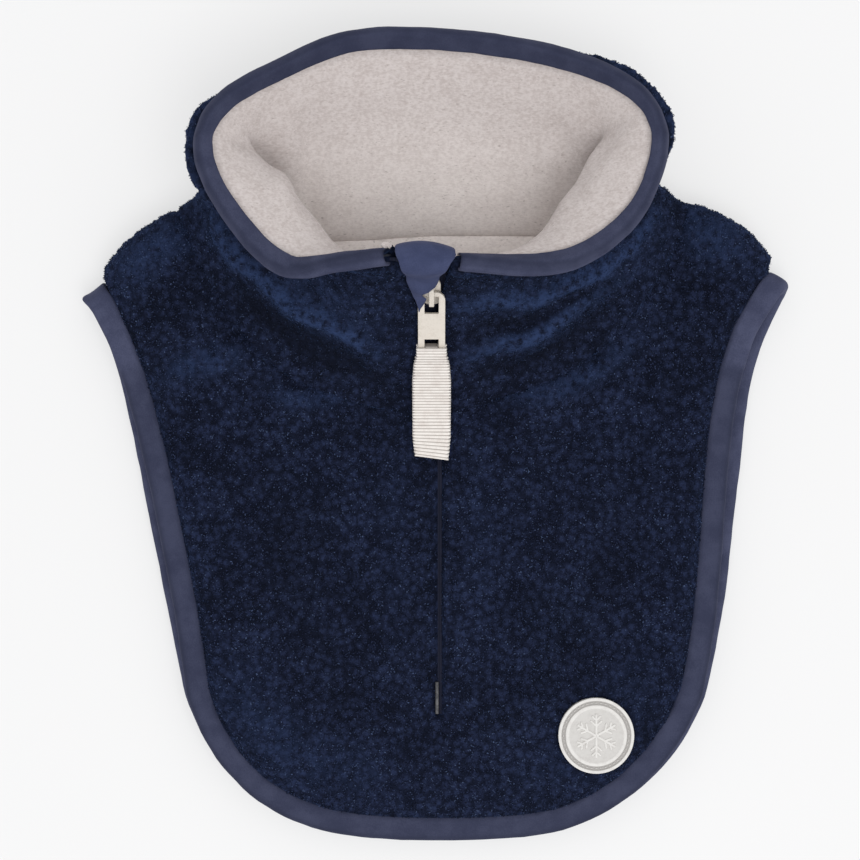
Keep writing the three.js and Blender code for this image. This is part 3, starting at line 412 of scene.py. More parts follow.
@dataclass(frozen=True)
class Smooth:
    """A hard or rubbery finish with a faint unevenness and wear, and painted shade in its low parts where a
    colour for it is given.
    """

    name: str
    base: Colour
    second_tone: Colour
    roughness: float
    metallic: float = 0.0
    coat: float = 0.0
    painted_recess_shade: Colour | None = None
    grain: float = 0.5 * MM
    relief: float = 0.01 * MM

    def material(self) -> Material:
        """The finished surface."""
        shader = Shader(self.name)
        grain = shader.noise(self.grain, detail=4)
        cloudy = shader.noise(4 * self.grain, detail=2)
        base = shader.blend(shader.level(grain * 0.4 + cloudy * 0.6, 0.42, 0.7), self.base, self.second_tone)
        # painted shade in the low parts of the relief
        if self.painted_recess_shade:
            base = shader.blend(shader.level(shader.stored(RAISED), 0.1, 0.8), self.painted_recess_shade, base)
        rough = shader.level(cloudy, 0.2, 0.8) * 0.12 + (self.roughness - 0.06)
        return shader.finish(
            base,
            Roughness=rough,
            Metallic=self.metallic,
            Coat_Weight=self.coat,
            Coat_Roughness=0.15,
            Normal=shader.bump(grain, self.relief, 0.5),
        )


@dataclass(frozen=True)
class Grosgrain:
    """Ivory ribbon, with shade painted between its ribs."""

    pale: Colour = colour(234, 229, 224)
    shade: Colour = colour(218, 210, 204)
    groove: Colour = colour(140, 130, 124)

    def material(self) -> Material:
        """The finished ribbon."""
        shader = Shader("grosgrain")
        threads = shader.noise(0.16 * MM, detail=2, place=shader.stretched((1.0, 0.3, 1.0)))
        cloudy = shader.noise(2.5 * MM, detail=2)
        cloth = shader.blend(shader.level(threads * 0.5 + cloudy * 0.5, 0.32, 0.6), self.shade, self.pale)
        # painted shade between the ribs
        hollows = shader.level(1 - shader.stored(RAISED), 0.6, 1.0)
        base = shader.blend(hollows * 0.8, cloth, self.groove)
        return shader.finish(
            base, Roughness=0.85, Specular_IOR_Level=0.15, Normal=shader.bump(threads, 0.03 * MM, 0.6)
        )


# Work on meshes


def deselect() -> None:
    """Leaves nothing selected."""
    bpy.ops.object.select_all(action="DESELECT")


def activate(piece: Piece) -> Piece:
    """Selects one piece alone."""
    deselect()
    piece.select_set(True)
    bpy.context.view_layer.objects.active = piece
    return piece


def named(name: str) -> Piece:
    """Names the piece that was just added."""
    piece = bpy.context.object
    piece.name = piece.data.name = name
    return piece


def settle(piece: Piece) -> Piece:
    """Puts a piece's place into its mesh and its object at the origin."""
    activate(piece)
    bpy.ops.object.transform_apply(location=True, rotation=True, scale=True)
    return piece


def smooth(piece: Piece, degrees: float = 180) -> Piece:
    """Shades a piece smoothly across edges flatter than an angle."""
    activate(piece)
    if degrees < 180:
        bpy.ops.object.shade_smooth_by_angle(angle=math.radians(degrees))
    else:
        bpy.ops.object.shade_smooth()
    return piece


def pick(piece: Piece, kind: str, wanted: Callable[[object], bool]) -> None:
    """Enters edit mode with some of a mesh selected.

    Args:
        piece: the mesh, which is active.
        kind: VERT or FACE.
        wanted: whether a vertex or face is selected.
    """
    bpy.ops.object.mode_set(mode="EDIT")
    bpy.ops.mesh.select_mode(type=kind)
    bpy.ops.mesh.select_all(action="DESELECT")
    bpy.ops.object.mode_set(mode="OBJECT")
    for part in piece.data.polygons if kind == "FACE" else piece.data.vertices:
        part.select = wanted(part)
    bpy.ops.object.mode_set(mode="EDIT")


def joined(pieces: Sequence[Piece]) -> Piece:
    """Joins pieces into the first of them."""
    deselect()
    for piece in pieces:
        piece.select_set(True)
    bpy.context.view_layer.objects.active = pieces[0]
    bpy.ops.object.join()
    return pieces[0]


def modify(piece: Piece, kind: str, **settings: object) -> Piece:
    """Adds a modifier and applies it.

    Args:
        piece: the mesh.
        kind: the modifier's type.
        settings: its values.

    Returns:
        The piece.
    """
    activate(piece)
    modifier = piece.modifiers.new(kind.title(), kind)
    for name, value in settings.items():
        setattr(modifier, name, value)
    bpy.ops.object.modifier_apply(modifier=modifier.name)
    return piece


def subdivided(piece: Piece, levels: int, is_simple: bool = False) -> Piece:
    """Subdivides a mesh, rounding it unless the division is simple."""
    kind = "SIMPLE" if is_simple else "CATMULL_CLARK"
    return modify(piece, "SUBSURF", levels=levels, render_levels=levels, subdivision_type=kind)


def edit(piece: Piece, *steps: Callable[[], object]) -> Piece:
    """Runs steps in edit mode with the whole piece selected."""
    activate(piece)
    bpy.ops.object.mode_set(mode="EDIT")
    bpy.ops.mesh.select_all(action="SELECT")
    for step in steps:
        step()
    bpy.ops.object.mode_set(mode="OBJECT")
    return piece


def copy_of(node: str, name: str) -> Piece:
    """A merged copy of a CAD node's mesh.

    Args:
        node: the CAD node.
        name: the new piece's name.

    Returns:
        The new piece.
    """
    mesh = NODES[node].data.copy()
    mesh.materials.clear()
    piece = bpy.data.objects.new(name, mesh)
    bpy.context.scene.collection.objects.link(piece)
    return edit(piece, lambda: bpy.ops.mesh.remove_doubles(threshold=WELD))


def squares(piece: Piece) -> Piece:
    """Turns pairs of triangles back into quads."""
    return edit(
        piece, lambda: bpy.ops.mesh.tris_convert_to_quads(face_threshold=math.pi, shape_threshold=math.pi)
    )


def points_of(piece: Piece) -> np.ndarray:
    """The places of a mesh's points."""
    flat = np.empty(3 * len(piece.data.vertices))
    piece.data.vertices.foreach_get("co", flat)
    return flat.reshape(-1, 3)


def normals_of(piece: Piece) -> np.ndarray:
    """The normals at a mesh's points."""
    flat = np.empty(3 * len(piece.data.vertices))
    piece.data.vertex_normals.foreach_get("vector", flat)
    return flat.reshape(-1, 3)


def move_points(piece: Piece, places: np.ndarray) -> None:
    """Gives a mesh's points new places."""
    piece.data.vertices.foreach_set("co", places.ravel())
    piece.data.update()


def ease(values: np.ndarray, low: float, high: float | np.ndarray) -> np.ndarray:
    """A smooth step from 0 at low to 1 at high."""
    share = np.clip((values - low) / (high - low), 0, 1)
    return share * share * (3 - 2 * share)


def tree_of(piece: Piece) -> BVHTree:
    """A search tree of a mesh's faces."""
    faces = [tuple(face.vertices) for face in piece.data.polygons]
    return BVHTree.FromPolygons([tuple(place) for place in points_of(piece)], faces)


def nearest(places: np.ndarray, pieces: Sequence[Piece], far: float) -> tuple[np.ndarray, np.ndarray]:
    """The nearest point of some pieces to each place.

    Args:
        places: where to look from.
        pieces: what to look for.
        far: how far to look.

    Returns:
        Each distance, at most far, and the nearest point or the place itself.
    """
    distances = np.full(len(places), far)
    found = places.copy()
    for tree in [tree_of(piece) for piece in pieces]:
        for i, place in enumerate(places):
            point, _, _, distance = tree.find_nearest(Vector(place), distances[i])
            if point is not None and distance < distances[i]:
                distances[i] = distance
                found[i] = point
    return distances, found


def clear_of(places: np.ndarray, nodes: Sequence[str], near: float, far: float) -> np.ndarray:
    """How free each place is of some CAD nodes, from 0 when near to 1 when far."""
    distances, _ = nearest(places, [NODES[node] for node in nodes], far)
    return ease(distances, near, far)


def close_gap(piece: Piece, other: Piece, reach: float, overlap: float = 0.2 * MM) -> None:
    """Draws the points of a mesh that lie near another on to it and a little into it.

    Args:
        piece: the mesh.
        other: what it is sewn to.
        reach: how far away the points may lie.
        overlap: how far they go in.
    """
    places = points_of(piece)
    distances, found = nearest(places, [other], reach)
    share = 1 - ease(distances, 0.6 * reach, reach)
    way = (found - places) / np.maximum(distances, 0.01 * MM)[:, None]
    move_points(piece, places + way * (share * (distances + overlap))[:, None])


def nudge(piece: Piece, centre: Spot, shift: Spot, width: float) -> None:
    """Shifts the part of a mesh round a place sideways; all in millimetres."""
    places = points_of(piece)
    away = np.linalg.norm(places[:, :2] / MM - centre, axis=1)
    places[:, :2] += np.exp(-((away / width) ** 2))[:, None] * np.array(shift) * MM
    move_points(piece, places)


def keep_values(piece: Piece, name: str, values: np.ndarray, is_group: bool = False) -> None:
    """Stores a number for each point.

    Args:
        piece: the mesh.
        name: of the attribute.
        values: from 0 to 1.
        is_group: also makes a vertex group of them.
    """
    attribute = piece.data.attributes.new(name, "FLOAT", "POINT")
    attribute.data.foreach_set("value", values.astype(np.float32))
    if not is_group:
        return
    group = piece.vertex_groups.new(name=name)
    steps = 32
    levels = np.round(values * steps).astype(int)
    for step in range(1, steps + 1):
        indices = np.flatnonzero(levels == step).tolist()
        if indices:
            group.add(indices, step / steps, "REPLACE")


class Grain(Enum):
    """Kinds of relief."""

    CLOUDS = "CLOUDS"
    CELLS = "VORONOI"


def roughen(piece: Piece, grain: Grain, size: float, height: float, group: str = "") -> None:
    """Moves a mesh in and out by a pattern.

    Args:
        piece: the mesh.
        grain: the kind of pattern.
        size: the pattern's size.
        height: from its lowest to its highest point.
        group: the vertex group that limits it.
    """
    texture = bpy.data.textures.new(f"{piece.name}_{grain.name.lower()}", grain.value)
    texture.noise_scale = size
    modify(
        piece,
        "DISPLACE",
        texture=texture,
        texture_coords="LOCAL",
        strength=height,
        mid_level=0.5,
        vertex_group=group,
    )


def dress(piece: Piece, material: Material, slot: str, body: str, *nodes: str) -> Piece:
    """Gives a finished piece its material and body, and hides the CAD nodes that it stands for.

    Args:
        piece: the finished mesh.
        material: its material.
        slot: not used.
        body: the CAD body that it rides on.
        nodes: the CAD nodes that it replaces.

    Returns:
        The piece.
    """
    piece.data.materials.clear()
    piece.data.materials.append(material)
    if nodes:
        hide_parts(*nodes)
    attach(piece, body)
    log.info("%s: %d faces", piece.name, len(piece.data.polygons))
    return piece


# Folds


@dataclass(frozen=True)
class Fold:
    """A ridge or valley along a line seen from above, in millimetres."""

    line: Sequence[Spot]
    height: float
    width: float
    wander: float = 0.7  # how far the line strays
    strays: Span = (2.9, 3.7)  # over which lengths, sideways and up
    shift: float = 1.7  # where the sideways wave begins
    ends: float = 0.06  # share of a half wave that is cut off at each end

    def at(self, places: np.ndarray) -> np.ndarray:
        """How strong the fold is at each place, from 0 to 1."""
        flat = places[:, :2] / MM
        sideways = np.sin(flat[:, 1] / self.strays[0] + self.shift)
        upwards = np.sin(flat[:, 0] / self.strays[1])
        flat = flat + np.stack([sideways, upwards], axis=1) * self.wander
        line = np.array(self.line)
        best = np.full(len(flat), np.inf)
        run = np.zeros(len(flat))
        lengths = np.linalg.norm(np.diff(line, axis=0), axis=1)
        starts = np.concatenate([[0], np.cumsum(lengths)])
        for i, length in enumerate(lengths):
            way = (line[i + 1] - line[i]) / length
            along = np.clip((flat - line[i]) @ way, 0, length)
            away = np.linalg.norm(flat - line[i] - along[:, None] * way, axis=1)
            run = np.where(away < best, (starts[i] + along) / starts[-1], run)
            best = np.minimum(away, best)
        fade = np.sqrt(np.sin(np.pi * (self.ends + (1 - 2 * self.ends) * run)))
        return fade * np.exp(-((best / self.width) ** 2))


def press(piece: Piece, folds: Sequence[Fold], limit: np.ndarray) -> np.ndarray:
    """Presses folds into a mesh.

    Args:
        piece: the mesh.
        folds: the ridges and valleys.
        limit: the share of the movement that each point may make.

    Returns:
        The height at each point in metres.
    """
    places, normals = points_of(piece), normals_of(piece)
    height = sum(fold.height * MM * fold.at(places) for fold in folds) * limit
    move_points(piece, places + normals * height[:, None])
    return height


# Teddy fleece


@dataclass(frozen=True)
class Strand:
    """One curled strand: a narrow ribbon that rises and bends over."""

    width: float = 0.22 * MM
    root: float = -0.2 * MM
    steps: Sequence[tuple[float, float]] = ((0.12, 0.46), (0.3, -0.04))

    def build(self) -> Piece:
        """Makes it by extruding its root edge step by step."""
        deselect()
        bpy.ops.mesh.primitive_plane_add(size=self.width, location=(0, 0, 0))
        strand = named("strand")
        pick(strand, "VERT", lambda vertex: vertex.co.y > 0)
        bpy.ops.transform.translate(value=(0, -self.width, 0))
        bpy.ops.transform.translate(value=(0, self.steps[0][0] * MM, self.steps[0][1] * MM))
        for across, up in self.steps[1:]:
            bpy.ops.mesh.extrude_region_move(TRANSFORM_OT_translate={"value": (0, across * MM, up * MM)})
        bpy.ops.mesh.select_all(action="SELECT")
        bpy.ops.transform.translate(value=(0, 0, self.root))
        bpy.ops.object.mode_set(mode="OBJECT")
        return smooth(strand)


def random_number(graph: Graph, low: float, high: float, seed: int) -> Socket:
    """A number of its own for each point."""
    inputs = {2: low, 3: high, "Seed": seed}
    return graph.node("FunctionNodeRandomValue", {"data_type": "FLOAT"}, inputs, output=1)


def pile_area(ground: Piece) -> float:
    """The area of a mesh that strands grow on."""
    pile = np.empty(len(ground.data.vertices), np.float32)
    ground.data.attributes[PILE].data.foreach_get("value", pile)
    shares = [float(np.mean([pile[i] for i in face.vertices])) for face in ground.data.polygons]
    return sum(face.area * share for face, share in zip(ground.data.polygons, shares))


def scatter(ground: Piece, strand: Piece, count: int, seed: int, name: str) -> Piece:
    """Strands all over the part of a mesh that its pile attribute marks.

    Args:
        ground: the mesh that they grow on.
        strand: the strand that is copied.
        count: about how many.
        seed: of their places, turns and shades.
        name: the new piece's name.

    Returns:
        The new piece, with each strand its own mesh.
    """
    piece = bpy.data.objects.new(name, ground.data.copy())
    piece.data.materials.clear()
    bpy.context.scene.collection.objects.link(piece)
    tree = bpy.data.node_groups.new(name, "GeometryNodeTree")
    tree.interface.new_socket("Geometry", in_out="INPUT", socket_type="NodeSocketGeometry")
    tree.interface.new_socket("Geometry", in_out="OUTPUT", socket_type="NodeSocketGeometry")
    graph = Graph(tree)
    surface = graph.node("NodeGroupInput")
    marked = graph.node("GeometryNodeInputNamedAttribute", {"data_type": "FLOAT"}, {"Name": PILE})
    spread = graph.node(
        "GeometryNodeDistributePointsOnFaces",
        {"distribute_method": "RANDOM"},
        {"Mesh": surface, "Density": marked * (count / pile_area(ground)), "Seed": seed},
    )
    rotation = Socket(graph, spread.output.node.outputs["Rotation"])
    tilt = graph.node(
        "FunctionNodeRandomValue",
        {"data_type": "FLOAT_VECTOR"},
        {"Min": (-LEAN, -LEAN, -math.pi), "Max": (LEAN, LEAN, math.pi), "Seed": seed + 1},
    )
    turn = graph.node("FunctionNodeEulerToRotation", inputs={"Euler": tilt})
    turned = graph.node(
        "FunctionNodeRotateRotation", {"rotation_space": "LOCAL"}, {"Rotation": rotation, "Rotate By": turn}
    )
    size = random_number(graph, *STRAND_SIZES, seed + 2)
    shape = graph.node("GeometryNodeObjectInfo", inputs={"Object": strand}, output="Geometry")
    instances = graph.node(
        "GeometryNodeInstanceOnPoints",
        inputs={"Points": spread, "Instance": shape, "Rotation": turned, "Scale": size},
    )
    shade = random_number(graph, 0.0, 1.0, seed + 3)
    kept = graph.node(
        "GeometryNodeStoreNamedAttribute",
        {"data_type": "FLOAT", "domain": "INSTANCE"},
        {"Geometry": instances, "Name": STRAND_SHADE, "Value": shade},
    )
    real = graph.node("GeometryNodeRealizeInstances", inputs={"Geometry": kept})
    graph.node("NodeGroupOutput", inputs={0: real}, output=None)
    modify(piece, "NODES", node_group=tree)
    piece.vertex_groups.clear()
    return piece


@dataclass
class TeddyPanel:
    """A panel of teddy fleece: a dense curly mesh, and strands on what shows of it."""

    node: str
    name: str
    flat: tuple[float, float]
    area: float
    held: str
    rests_on: Sequence[str]
    strands: Sequence[int]
    seed: int
    folds: Sequence[Fold] = ()
    keep_off: Sequence[str] = ()  # nodes that neither relief nor strands may touch
    neighbours: Sequence[str] = ()  # nodes that relief fades out towards
    sewn_to: Sequence[tuple[Piece, float]] = ()  # other pieces, with how far they may be
    voxel: float = 0.8 * MM
    rounding: int = 6
    risen: Span = (0.2 * MM, 1.6 * MM)  # heights over which the pile sets in
    facing: Span = (-0.75, -0.1)  # upward parts of the normals over which it sets in
    clear: Span = (0.1 * MM, 0.7 * MM)  # from what it keeps off
    fading: Span = (0.3 * MM, 2.4 * MM)  # towards its neighbours
    full_fold: float = 1.6 * MM  # the fold height at which the painted light on a crest and the painted shade in a valley are full
    rough: Sequence[tuple[Grain, float, float]] = (
        (Grain.CLOUDS, 12 * MM, 1.0 * MM),
        (Grain.CELLS, 2.0 * MM, -0.8 * MM),
        (Grain.CLOUDS, 1.3 * MM, 0.7 * MM),
    )

    def shows(self, places: np.ndarray, normals: np.ndarray) -> np.ndarray:
        """How far each point is part of the outer pile, from 0 to 1."""
        return ease(places[:, 2], *self.risen) * ease(normals[:, 2], *self.facing)

    def body(self) -> Piece:
        """The panel's even mesh, before its curls."""
        panel = copy_of(self.node, self.name)
        modify(panel, "REMESH", mode="VOXEL", voxel_size=self.voxel, adaptivity=0.0)
        modify(panel, "SMOOTH", factor=0.5, iterations=self.rounding)
        return panel

    def build(self, finish: TeddyFleece, strand: Piece) -> Piece:
        """Makes the panel and its strands.

        Args:
            finish: the fleece.
            strand: the strand that is copied all over it.

        Returns:
            The panel.
        """
        panel = self.body()
        for other, reach in self.sewn_to:
            close_gap(panel, other, reach)
        places, normals = points_of(panel), normals_of(panel)
        shown = self.shows(places, normals) * clear_of(places, self.keep_off, *self.clear)
        relief = shown * clear_of(places, self.neighbours, *self.fading)
        keep_values(panel, PILE, shown)
        keep_values(panel, RELIEF, relief, is_group=True)
        height = press(panel, self.folds, relief)
        # painted light on the crests of the folds and painted shade in their valleys, from their heights
        keep_values(panel, FOLD_SHADING, np.clip(0.5 + 0.5 * height / self.full_fold, 0, 1))
        for grain, size, depth in self.rough:
            roughen(panel, grain, size, depth, RELIEF)
        smooth(panel)
        grown = [
            scatter(panel, strand, count, self.seed + 10 * k, f"{self.name}_strands_{k + 1}")
            for k, count in enumerate(self.strands)
        ]
        panel.vertex_groups.clear()
        dress(panel, finish.ground(), "teddy_fleece", GARMENT, self.node)
        material = finish.strands()
        for piece in grown:
            dress(piece, material, "teddy_fleece", GARMENT)
        return panel


@dataclass
class CollarPanel(TeddyPanel):
    """The collar's outer cloth, whose pile is on its outer face alone."""

    swells: Sequence[Fold] = (
        Fold(((-59, 104), (-62, 84), (-60, 54)), 7.2, 8.0),
        Fold(((22, 112), (38, 107), (50, 100), (59, 90), (63, 74)), 7.0, 7.0),
    )
    off_lining: Span = (1.2 * MM, 2.6 * MM)  # over which the outer face sets in
    fullness: float = 0.25 * MM
    middle: tuple[float, float, float] = (0, 0.075, 0)  # of the neck, which the swells point away from
    swollen: Span = (0.012, 0.026)  # heights over which the swells set in
    drawn_in: Span = (1.6 * MM, 2.2 * MM)  # over the zip's tapes, left and right
    beside_zip: tuple[float, float, float] = (0.003, 0.022, 0.013)  # from here out to there, left and right
    below_rim: Span = (0.054, 0.058)  # how far up the cloth is drawn in
    pinches: Sequence[tuple[Spot, Spot, float]] = (
        ((-12.5, 51.5), (0.6, 4.4), 3.2),
        ((6.5, 49.5), (-0.4, 2.2), 2.6),
    )

    def shows(self, places: np.ndarray, normals: np.ndarray) -> np.ndarray:
        """Marks the face away from the lining."""
        return clear_of(places, ["collar_lining"], *self.off_lining)

    def body(self) -> Piece:
        """The collar's grid, subdivided, swollen and drawn in over the zip's tapes."""
        panel = subdivided(squares(copy_of(self.node, self.name)), 3)
        places = self.swell(points_of(panel), normals_of(panel))
        near, left, right = self.beside_zip
        is_right = places[:, 0] > 0
        at_zip = 1 - ease(np.abs(places[:, 0]), near, np.where(is_right, right, left))
        at_zip *= 1 - ease(places[:, 1], *self.below_rim)
        places[:, 0] += np.where(is_right, -self.drawn_in[1], self.drawn_in[0]) * at_zip
        move_points(panel, places)
        for centre, shift, width in self.pinches:
            nudge(panel, centre, shift, width)
        return panel

    def swell(self, places: np.ndarray, normals: np.ndarray) -> np.ndarray:
        """Fills the cloth out to its thickness and lets its sides bulge under the binding.

        Args:
            places: the mesh's points.
            normals: their normals.

        Returns:
            Their new places.
        """
        outer = self.shows(places, normals)
        under_rim = clear_of(places, ["rim_binding"], 0, 1.0 * MM) * ease(places[:, 2], *self.swollen)
        outward = (places - np.array(self.middle)) * (1, 1, 0)
        outward /= np.linalg.norm(outward, axis=1)[:, None]
        bulge = sum(fold.height * MM * fold.at(places) for fold in self.swells) * outer * under_rim
        return places + normals * (self.fullness * outer)[:, None] + outward * bulge[:, None]


@dataclass
class Fleece:
    """All the teddy fleece, with the folds of the collar and the bib."""

    collar_folds: Sequence[Fold] = (
        Fold(
            ((-64, 63), (-57, 52), (-50, 44.5), (-42, 39), (-34, 34.5), (-24.5, 28.5), (-17, 24)), 1.7, 2.6
        ),
        Fold(((-57, 42), (-48, 34.5), (-38, 28), (-28, 22.5), (-16, 18)), -2.4, 4.2),
        Fold(((6, 38), (26.6, 40), (45, 46.5), (56, 56), (63, 65.5)), 1.3, 2.4),
        Fold(((8, 30.5), (25, 33.5), (42, 41), (54, 51)), -1.7, 2.4),
        Fold(((8, 24), (23, 28), (38, 36), (52, 48)), 1.3, 2.4),
        Fold(((8, 17.5), (24, 21.5), (40, 29.5), (56, 43)), -1.6, 2.8),
        Fold(((-60, 100), (-66, 84), (-66, 64)), 0.9, 7.0),
        Fold(((38, 108), (52, 102), (63, 92), (67, 80)), 0.9, 7.0),
        Fold(((-52, 50), (-32, 37), (-14, 31)), 0.6, 11.0),
        Fold(((12, 31), (36, 38), (60, 58)), 0.7, 11.0),
    )
    bib_folds: Sequence[Fold] = (
        Fold(((-78, 18), (-66, 23), (-54, 25)), 1.0, 5.0),
        Fold(((-50, 13), (-34, 12), (-20, 14)), 0.9, 4.0),
        Fold(((-60, 33), (-46, 23), (-30, 17)), -1.1, 3.6),
        Fold(((18, 12), (40, 15), (58, 30)), 0.9, 4.0),
        Fold(((12, 5), (14, -30), (13, -64)), 0.3, 6.0),
        Fold(((-12, 5), (-13, -30), (-12, -64)), 0.3, 6.0),
        Fold(((-46, -20), (-40, -48), (-28, -74)), -0.7, 8.0),
        Fold(((48, -8), (50, -40), (34, -66)), -0.7, 8.0),
        Fold(((-93, 47), (-82, 55), (-70, 62)), 0.9, 8.0),
        Fold(((90, 50), (80, 60), (70, 70)), 0.9, 8.0),
        Fold(((-64, -66), (-42, -92), (-12, -100)), 0.6, 11.0),
        Fold(((20, -100), (46, -92), (62, -60)), 0.5, 10.0),
    )

    def build(self) -> None:
        """Makes the collar first, because the bibs are sewn to it."""
        finish = TeddyFleece()
        strand = Strand().build()
        collar = CollarPanel(
            node="collar_shell",
            name="collar_fleece",
            flat=(0.38, 0.066),
            area=0.019,
            held="gathered",
            rests_on=["front_bib", "back_bib"],
            strands=(35000,),
            seed=91,
            folds=self.collar_folds,
            keep_off=TAPES,
            neighbours=("rim_binding",),
            sewn_to=((NODES["front_bib"], 4.5 * MM), (NODES["back_bib"], 3.0 * MM)),
        ).build(finish, strand)
        front = TeddyPanel(
            node="front_bib",
            name="front_fleece",
            flat=(0.2, 0.19),
            area=0.0285,
            held="laid",
            rests_on=["back_lining"],
            strands=(32000, 32000),
            seed=11,
            folds=self.bib_folds,
            keep_off=(*TAPES, "badge"),
            neighbours=("edge_binding",),
            sewn_to=(
                (collar, 4.5 * MM),
                (NODES["edge_binding"], 1.8 * MM),
                *((NODES[tape], 2.4 * MM) for tape in TAPES),
            ),
        ).build(finish, strand)
        TeddyPanel(
            node="back_bib",
            name="back_fleece",
            flat=(0.2, 0.19),
            area=0.0285,
            held="laid",
            rests_on=["edge_binding"],
            strands=(7000,),
            seed=51,
            keep_off=("back_lining",),
            neighbours=("edge_binding",),
            sewn_to=((front, 1.2 * MM),),
            voxel=1.4 * MM,
        ).build(finish, strand)
        bpy.data.objects.remove(strand)


# Lining


@dataclass
class Lining:
    """The light cloth inside the collar and on the back bib."""

    creases: Sequence[Fold] = (
        Fold(((-35.5, 93), (-36.2, 80), (-36.7, 64)), -1.6, 3.0),
        Fold(((-41, 92), (-42, 80), (-42, 68)), 1.0, 3.2),
        Fold(((35, 90), (37, 80), (39.5, 69)), -1.2, 3.2),
        Fold(((30, 88), (32, 78), (34, 68)), 0.6, 3.4),
        Fold(((-57, 85), (-50, 81), (-46, 75)), -1.2, 2.6),
        Fold(((58, 93), (51, 90), (46, 82), (41, 72)), -1.0, 2.2),
    )
    tufts: Sequence[tuple[float, float, float, float]] = ((-13.7, 53.4, 51.5, 1.5), (6.6, 50.8, 50.0, 1.0))
    fading: Span = (0.35 * MM, 1.4 * MM)  # towards the binding and the collar
    rough: Sequence[Span] = ((10 * MM, 0.9 * MM), (1.8 * MM, 0.16 * MM))  # sizes and heights
    tuft_shape: tuple[float, float, float] = (1.0, 0.7, 0.6)
    voxel: float = 0.6 * MM
    kept: float = 0.14  # share of the back's faces
    seam: float = 3.5 * MM  # how far the back may lie from the collar's lining
    dark_from: Span = (-17, -15.5)  # across the collar's lining, where its dark part begins
    dark_to: Span = (7.5, 9)
    dark_up_to: Span = (56, 58)
    dark_beside_zip: Span = (9, 12)  # across the back's lining, on both sides, where shade is painted behind the zip
    dark_behind_zip: Span = (40, 46)

    def build(self, material: Material) -> None:
        """Makes both linings."""
        self.back(material, self.collar(material))

    def collar(self, material: Material) -> Piece:
        """The collar's lining."""
        piece = subdivided(squares(copy_of("collar_lining", "collar_lining_cloth")), 2)
        relief = clear_of(points_of(piece), ["rim_binding", "collar_shell"], *self.fading)
        keep_values(piece, RELIEF, relief, is_group=True)
        press(piece, self.creases, relief)
        for size, height in self.rough:
            roughen(piece, Grain.CLOUDS, size, height, RELIEF)
        piece.vertex_groups.clear()
        x, y, _ = (points_of(piece) / MM).T
        across = ease(x, *self.dark_from) * (1 - ease(x, *self.dark_to))
        keep_values(piece, TURNED_CLOTH_AND_SHADE, across * (1 - ease(y, *self.dark_up_to)))
        piece = joined([piece, *(self.tuft(*tuft) for tuft in self.tufts)])
        dress(smooth(piece), material, "microfleece", GARMENT, "collar_lining")
        return piece

    def tuft(self, x: float, y: float, z: float, size: float) -> Piece:
        """A fluffy end of the lining's cut edge; its place and size are in millimetres."""
        deselect()
        place = (x * MM, y * MM, z * MM)
        bpy.ops.mesh.primitive_ico_sphere_add(subdivisions=4, radius=size * MM, location=place)
        tuft = named("tuft")
        tuft.scale = self.tuft_shape
        settle(tuft)
        roughen(tuft, Grain.CLOUDS, 0.9 * MM, 1.1 * MM)
        return tuft

    def back(self, material: Material, collar: Piece) -> Piece:
        """The lining of the back bib, sewn to the collar's lining."""
        piece = copy_of("back_lining", "back_lining_cloth")
        modify(piece, "REMESH", mode="VOXEL", voxel_size=self.voxel, adaptivity=0.0)
        modify(piece, "DECIMATE", ratio=self.kept)
        close_gap(piece, collar, self.seam)
        # painted shade on the back's lining behind the zip, which shows through the gaps at the foot of the
        # slit
        x, y, _ = (points_of(piece) / MM).T
        across = 1 - ease(np.abs(x), *self.dark_beside_zip)
        keep_values(piece, TURNED_CLOTH_AND_SHADE, across * (1 - ease(y, *self.dark_behind_zip)))
        dress(smooth(piece), material, "microfleece", GARMENT, "back_lining")
        return piece


# Bindings and zip


def rounded_strip(node: str, name: str) -> Piece:
    """A copy of a folded strip, divided twice so that its edges stay tight but round."""
    return subdivided(subdivided(squares(copy_of(node, name)), 1, is_simple=True), 1)


